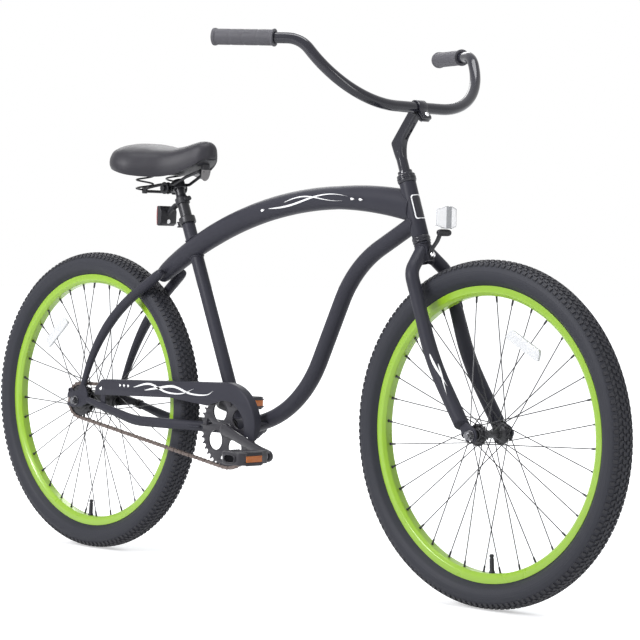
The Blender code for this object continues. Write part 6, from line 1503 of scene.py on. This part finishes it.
def makeInk():
    # the top tube: a long wave crossed by a shorter one, and three drops
    strokes = [(0.50, 0.80, 0.30, 5.6, 0.4, 0.085), (0.56, 0.78, -0.30, 5.0, 0.2, 0.055)]
    strokes += [(begin, begin + 0.018, 0.1, 0, math.pi / 2, 0.11) for begin in (0.470, 0.805, 0.835)]
    lines = [inkStroke(topPath, ink["topRadius"], begin, end, lambda s: swing * np.sin(rate * s + shift), half,
                       math.pi) for begin, end, swing, rate, shift, half in strokes]
    addPiece("topTubeLines", lines, "frame", whiteInk)
    # the guard: two nested hooks and a row of dots
    hooks = [inkFlat([(-0.300, 0.0745), (-0.245, 0.0845), (-0.190, 0.0700), (-0.140, 0.0690), (-0.098, 0.0820)],
                     0.0021),
             inkFlat([(-0.262, 0.0700), (-0.215, 0.0775), (-0.165, 0.0830), (-0.110, 0.0705), (-0.060, 0.0705),
                      (-0.036, 0.0800)], 0.0025)]
    hooks += [inkFlat([(x - 0.0032, 0.0765), (x, 0.0765), (x + 0.0032, 0.0765)], 0.0030)
              for x in (-0.345, -0.331, -0.317)]
    addPiece("guardLines", hooks, "frame", whiteInk)
    # the fork: two strokes on each leg, drawn from its outer face round to its front
    strokes = ((0.60, 0.80, 0.32, 0.16), (0.66, 0.84, -0.30, 0.12))
    marks = [inkStroke(forkLegPath(side), ink["legRadius"], begin, end, lambda s: -side * lean * np.cos(2.6 * s),
                       half, math.radians(90 - 45 * side))
             for side in (1, -1) for begin, end, lean, half in strokes]
    addPiece("forkLines", marks, "fork", whiteInk)


def makeHeadPlate():
    # a bare rounded plate rolled to the head tube: black on a white border
    low, high, corner, lean = 0.4525, 0.5030, 0.0046, math.radians(9)
    for name, inset, lift, finish in (("Border", 0, 0.0004, whiteInk), ("Face", 0.0021, 0.0006, glossBlack)):
        level = np.concatenate([low + inset + corner * (1 - np.cos(np.linspace(0, math.pi / 2, 8))),
                                high - inset - corner * (1 - np.cos(np.linspace(math.pi / 2, 0, 8)))])
        near = np.minimum(level - low - inset, high - inset - level)
        half = 0.0126 - inset - corner + np.sqrt(np.clip(corner**2 - np.clip(corner - near, 0, None) ** 2, 0, None))
        sheets = []
        for r in (tubes["headRadius"] + lift, tubes["headRadius"]):
            turn = (half[:, None] / r * np.linspace(-1, 1, 17) - lean)[..., None]
            sheets.append(steerFoot + steerUp * level[:, None, None] + steerAhead * r * np.cos(turn)
                          + across * r * np.sin(turn))
        addPiece(f"headPlate{name}", [pliesPart(*sheets)], "frame", finish)


makeInk()
makeHeadPlate()
print("lines made")


# Camera, floor and light

cameraView = dict(yaw=0.7921, pitch=0.0276, roll=0.0181, target=(0.1264, 0.0, 0.5406), distance=4.8407,
                  lens=132.18)


def makeCamera():
    yaw, pitch, roll = cameraView["yaw"], cameraView["pitch"], cameraView["roll"]
    back = Vector((math.sin(yaw) * math.cos(pitch), -math.cos(yaw) * math.cos(pitch), math.sin(pitch)))
    level = (-back).cross(Vector((0, 0, 1))).normalized()
    up = level.cross(-back)
    right = level * math.cos(roll) + up * math.sin(roll)
    top = up * math.cos(roll) - level * math.sin(roll)
    data = bpy.data.cameras.new("camera")
    data.lens = cameraView["lens"]
    data.sensor_width = 36
    data.clip_end = 100
    camera = newItem("camera", data)
    camera.matrix_world = Matrix((right, top, back)).transposed().to_4x4()
    camera.location = Vector(cameraView["target"]) + back * cameraView["distance"]
    bpy.context.scene.camera = camera


def areaLight(name, place, size, power, colour=(1, 1, 1)):
    data = bpy.data.lights.new(name, "AREA")
    data.shape = "RECTANGLE"
    data.size, data.size_y = size
    data.energy = power
    data.color = colour
    lamp = newItem(name, data)
    lamp.location = place
    lamp.rotation_euler = (Vector((0, 0, 0.5)) - Vector(place)).to_track_quat("-Z", "Y").to_euler()


def seenRays(tree):
    # 1 for what the camera sees directly, in a reflection or through a lens
    rays = put(tree, "LightPath")
    seen = mathNode(tree, "MAXIMUM", rays["Is Camera Ray"], rays["Is Glossy Ray"])
    return mathNode(tree, "MAXIMUM", seen, rays["Is Transmission Ray"])


def makeFloor():
    half, level = 30, -0.0006
    mesh = bpy.data.meshes.new("floor")
    mesh.from_pydata([(-half, -half, level), (half, -half, level), (half, half, level), (-half, half, level)], [],
                     [(0, 1, 2, 3)])
    floor = newItem("floor", mesh)
    material, tree, shader, place = newMaterial("floorWhite")
    # what is seen of it is lifted to the backdrop's white, more with distance, so no horizon shows
    reach = put(tree, "VectorMath", {0: place}, operation="LENGTH")["Value"]
    lift = mathNode(tree, "MULTIPLY_ADD", mathNode(tree, "SUBTRACT", reach, 1.0), 0.16, 0.46)
    lift = mathNode(tree, "MAXIMUM", mathNode(tree, "MINIMUM", lift, 0.95), 0.46)
    fill(tree, shader, {"Base Color": (0.80, 0.80, 0.80, 1), "Roughness": 0.9, "Emission Color": (1, 1, 1, 1),
                        "Emission Strength": mathNode(tree, "MULTIPLY", seenRays(tree), lift)})
    mesh.materials.append(material)


def makeWorld():
    world = bpy.data.worlds.new("studio")
    world.use_nodes = True
    tree = world.node_tree
    seen = seenRays(tree)
    # the room as the bicycle sees it: dim at the level of the floor, brighter overhead
    parted = put(tree, "SeparateXYZ", {0: put(tree, "TexCoord")["Generated"]})
    height = mathNode(tree, "POWER", mathNode(tree, "MAXIMUM", parted["Z"], 0.0), 1.5)
    room = mathNode(tree, "MULTIPLY_ADD", height, 0.45, 0.16)
    rest = mathNode(tree, "MULTIPLY", mathNode(tree, "SUBTRACT", 1.0, seen), room)
    fill(tree, tree.nodes["Background"], dict(Color=colourMix(tree, seen, (0.90, 0.94, 1.0, 1), (1, 1, 1, 1)),
                                              Strength=mathNode(tree, "ADD", seen, rest)))
    bpy.context.scene.world = world


makeCamera()
makeFloor()
makeWorld()
areaLight("keyLight", (-0.8, -3.8, 2.5), (1.6, 1.6), 178, (0.98, 0.98, 1.0))
areaLight("topLight", (0.3, -0.2, 3.8), (2.6, 1.0), 74, (0.97, 0.98, 1.0))
areaLight("sideLight", (4.2, -0.4, 1.6), (0.8, 2.4), 40)
areaLight("rearLight", (-3.0, 2.2, 3.0), (2.4, 1.6), 40)
bpy.context.scene.view_settings.view_transform = "Standard"
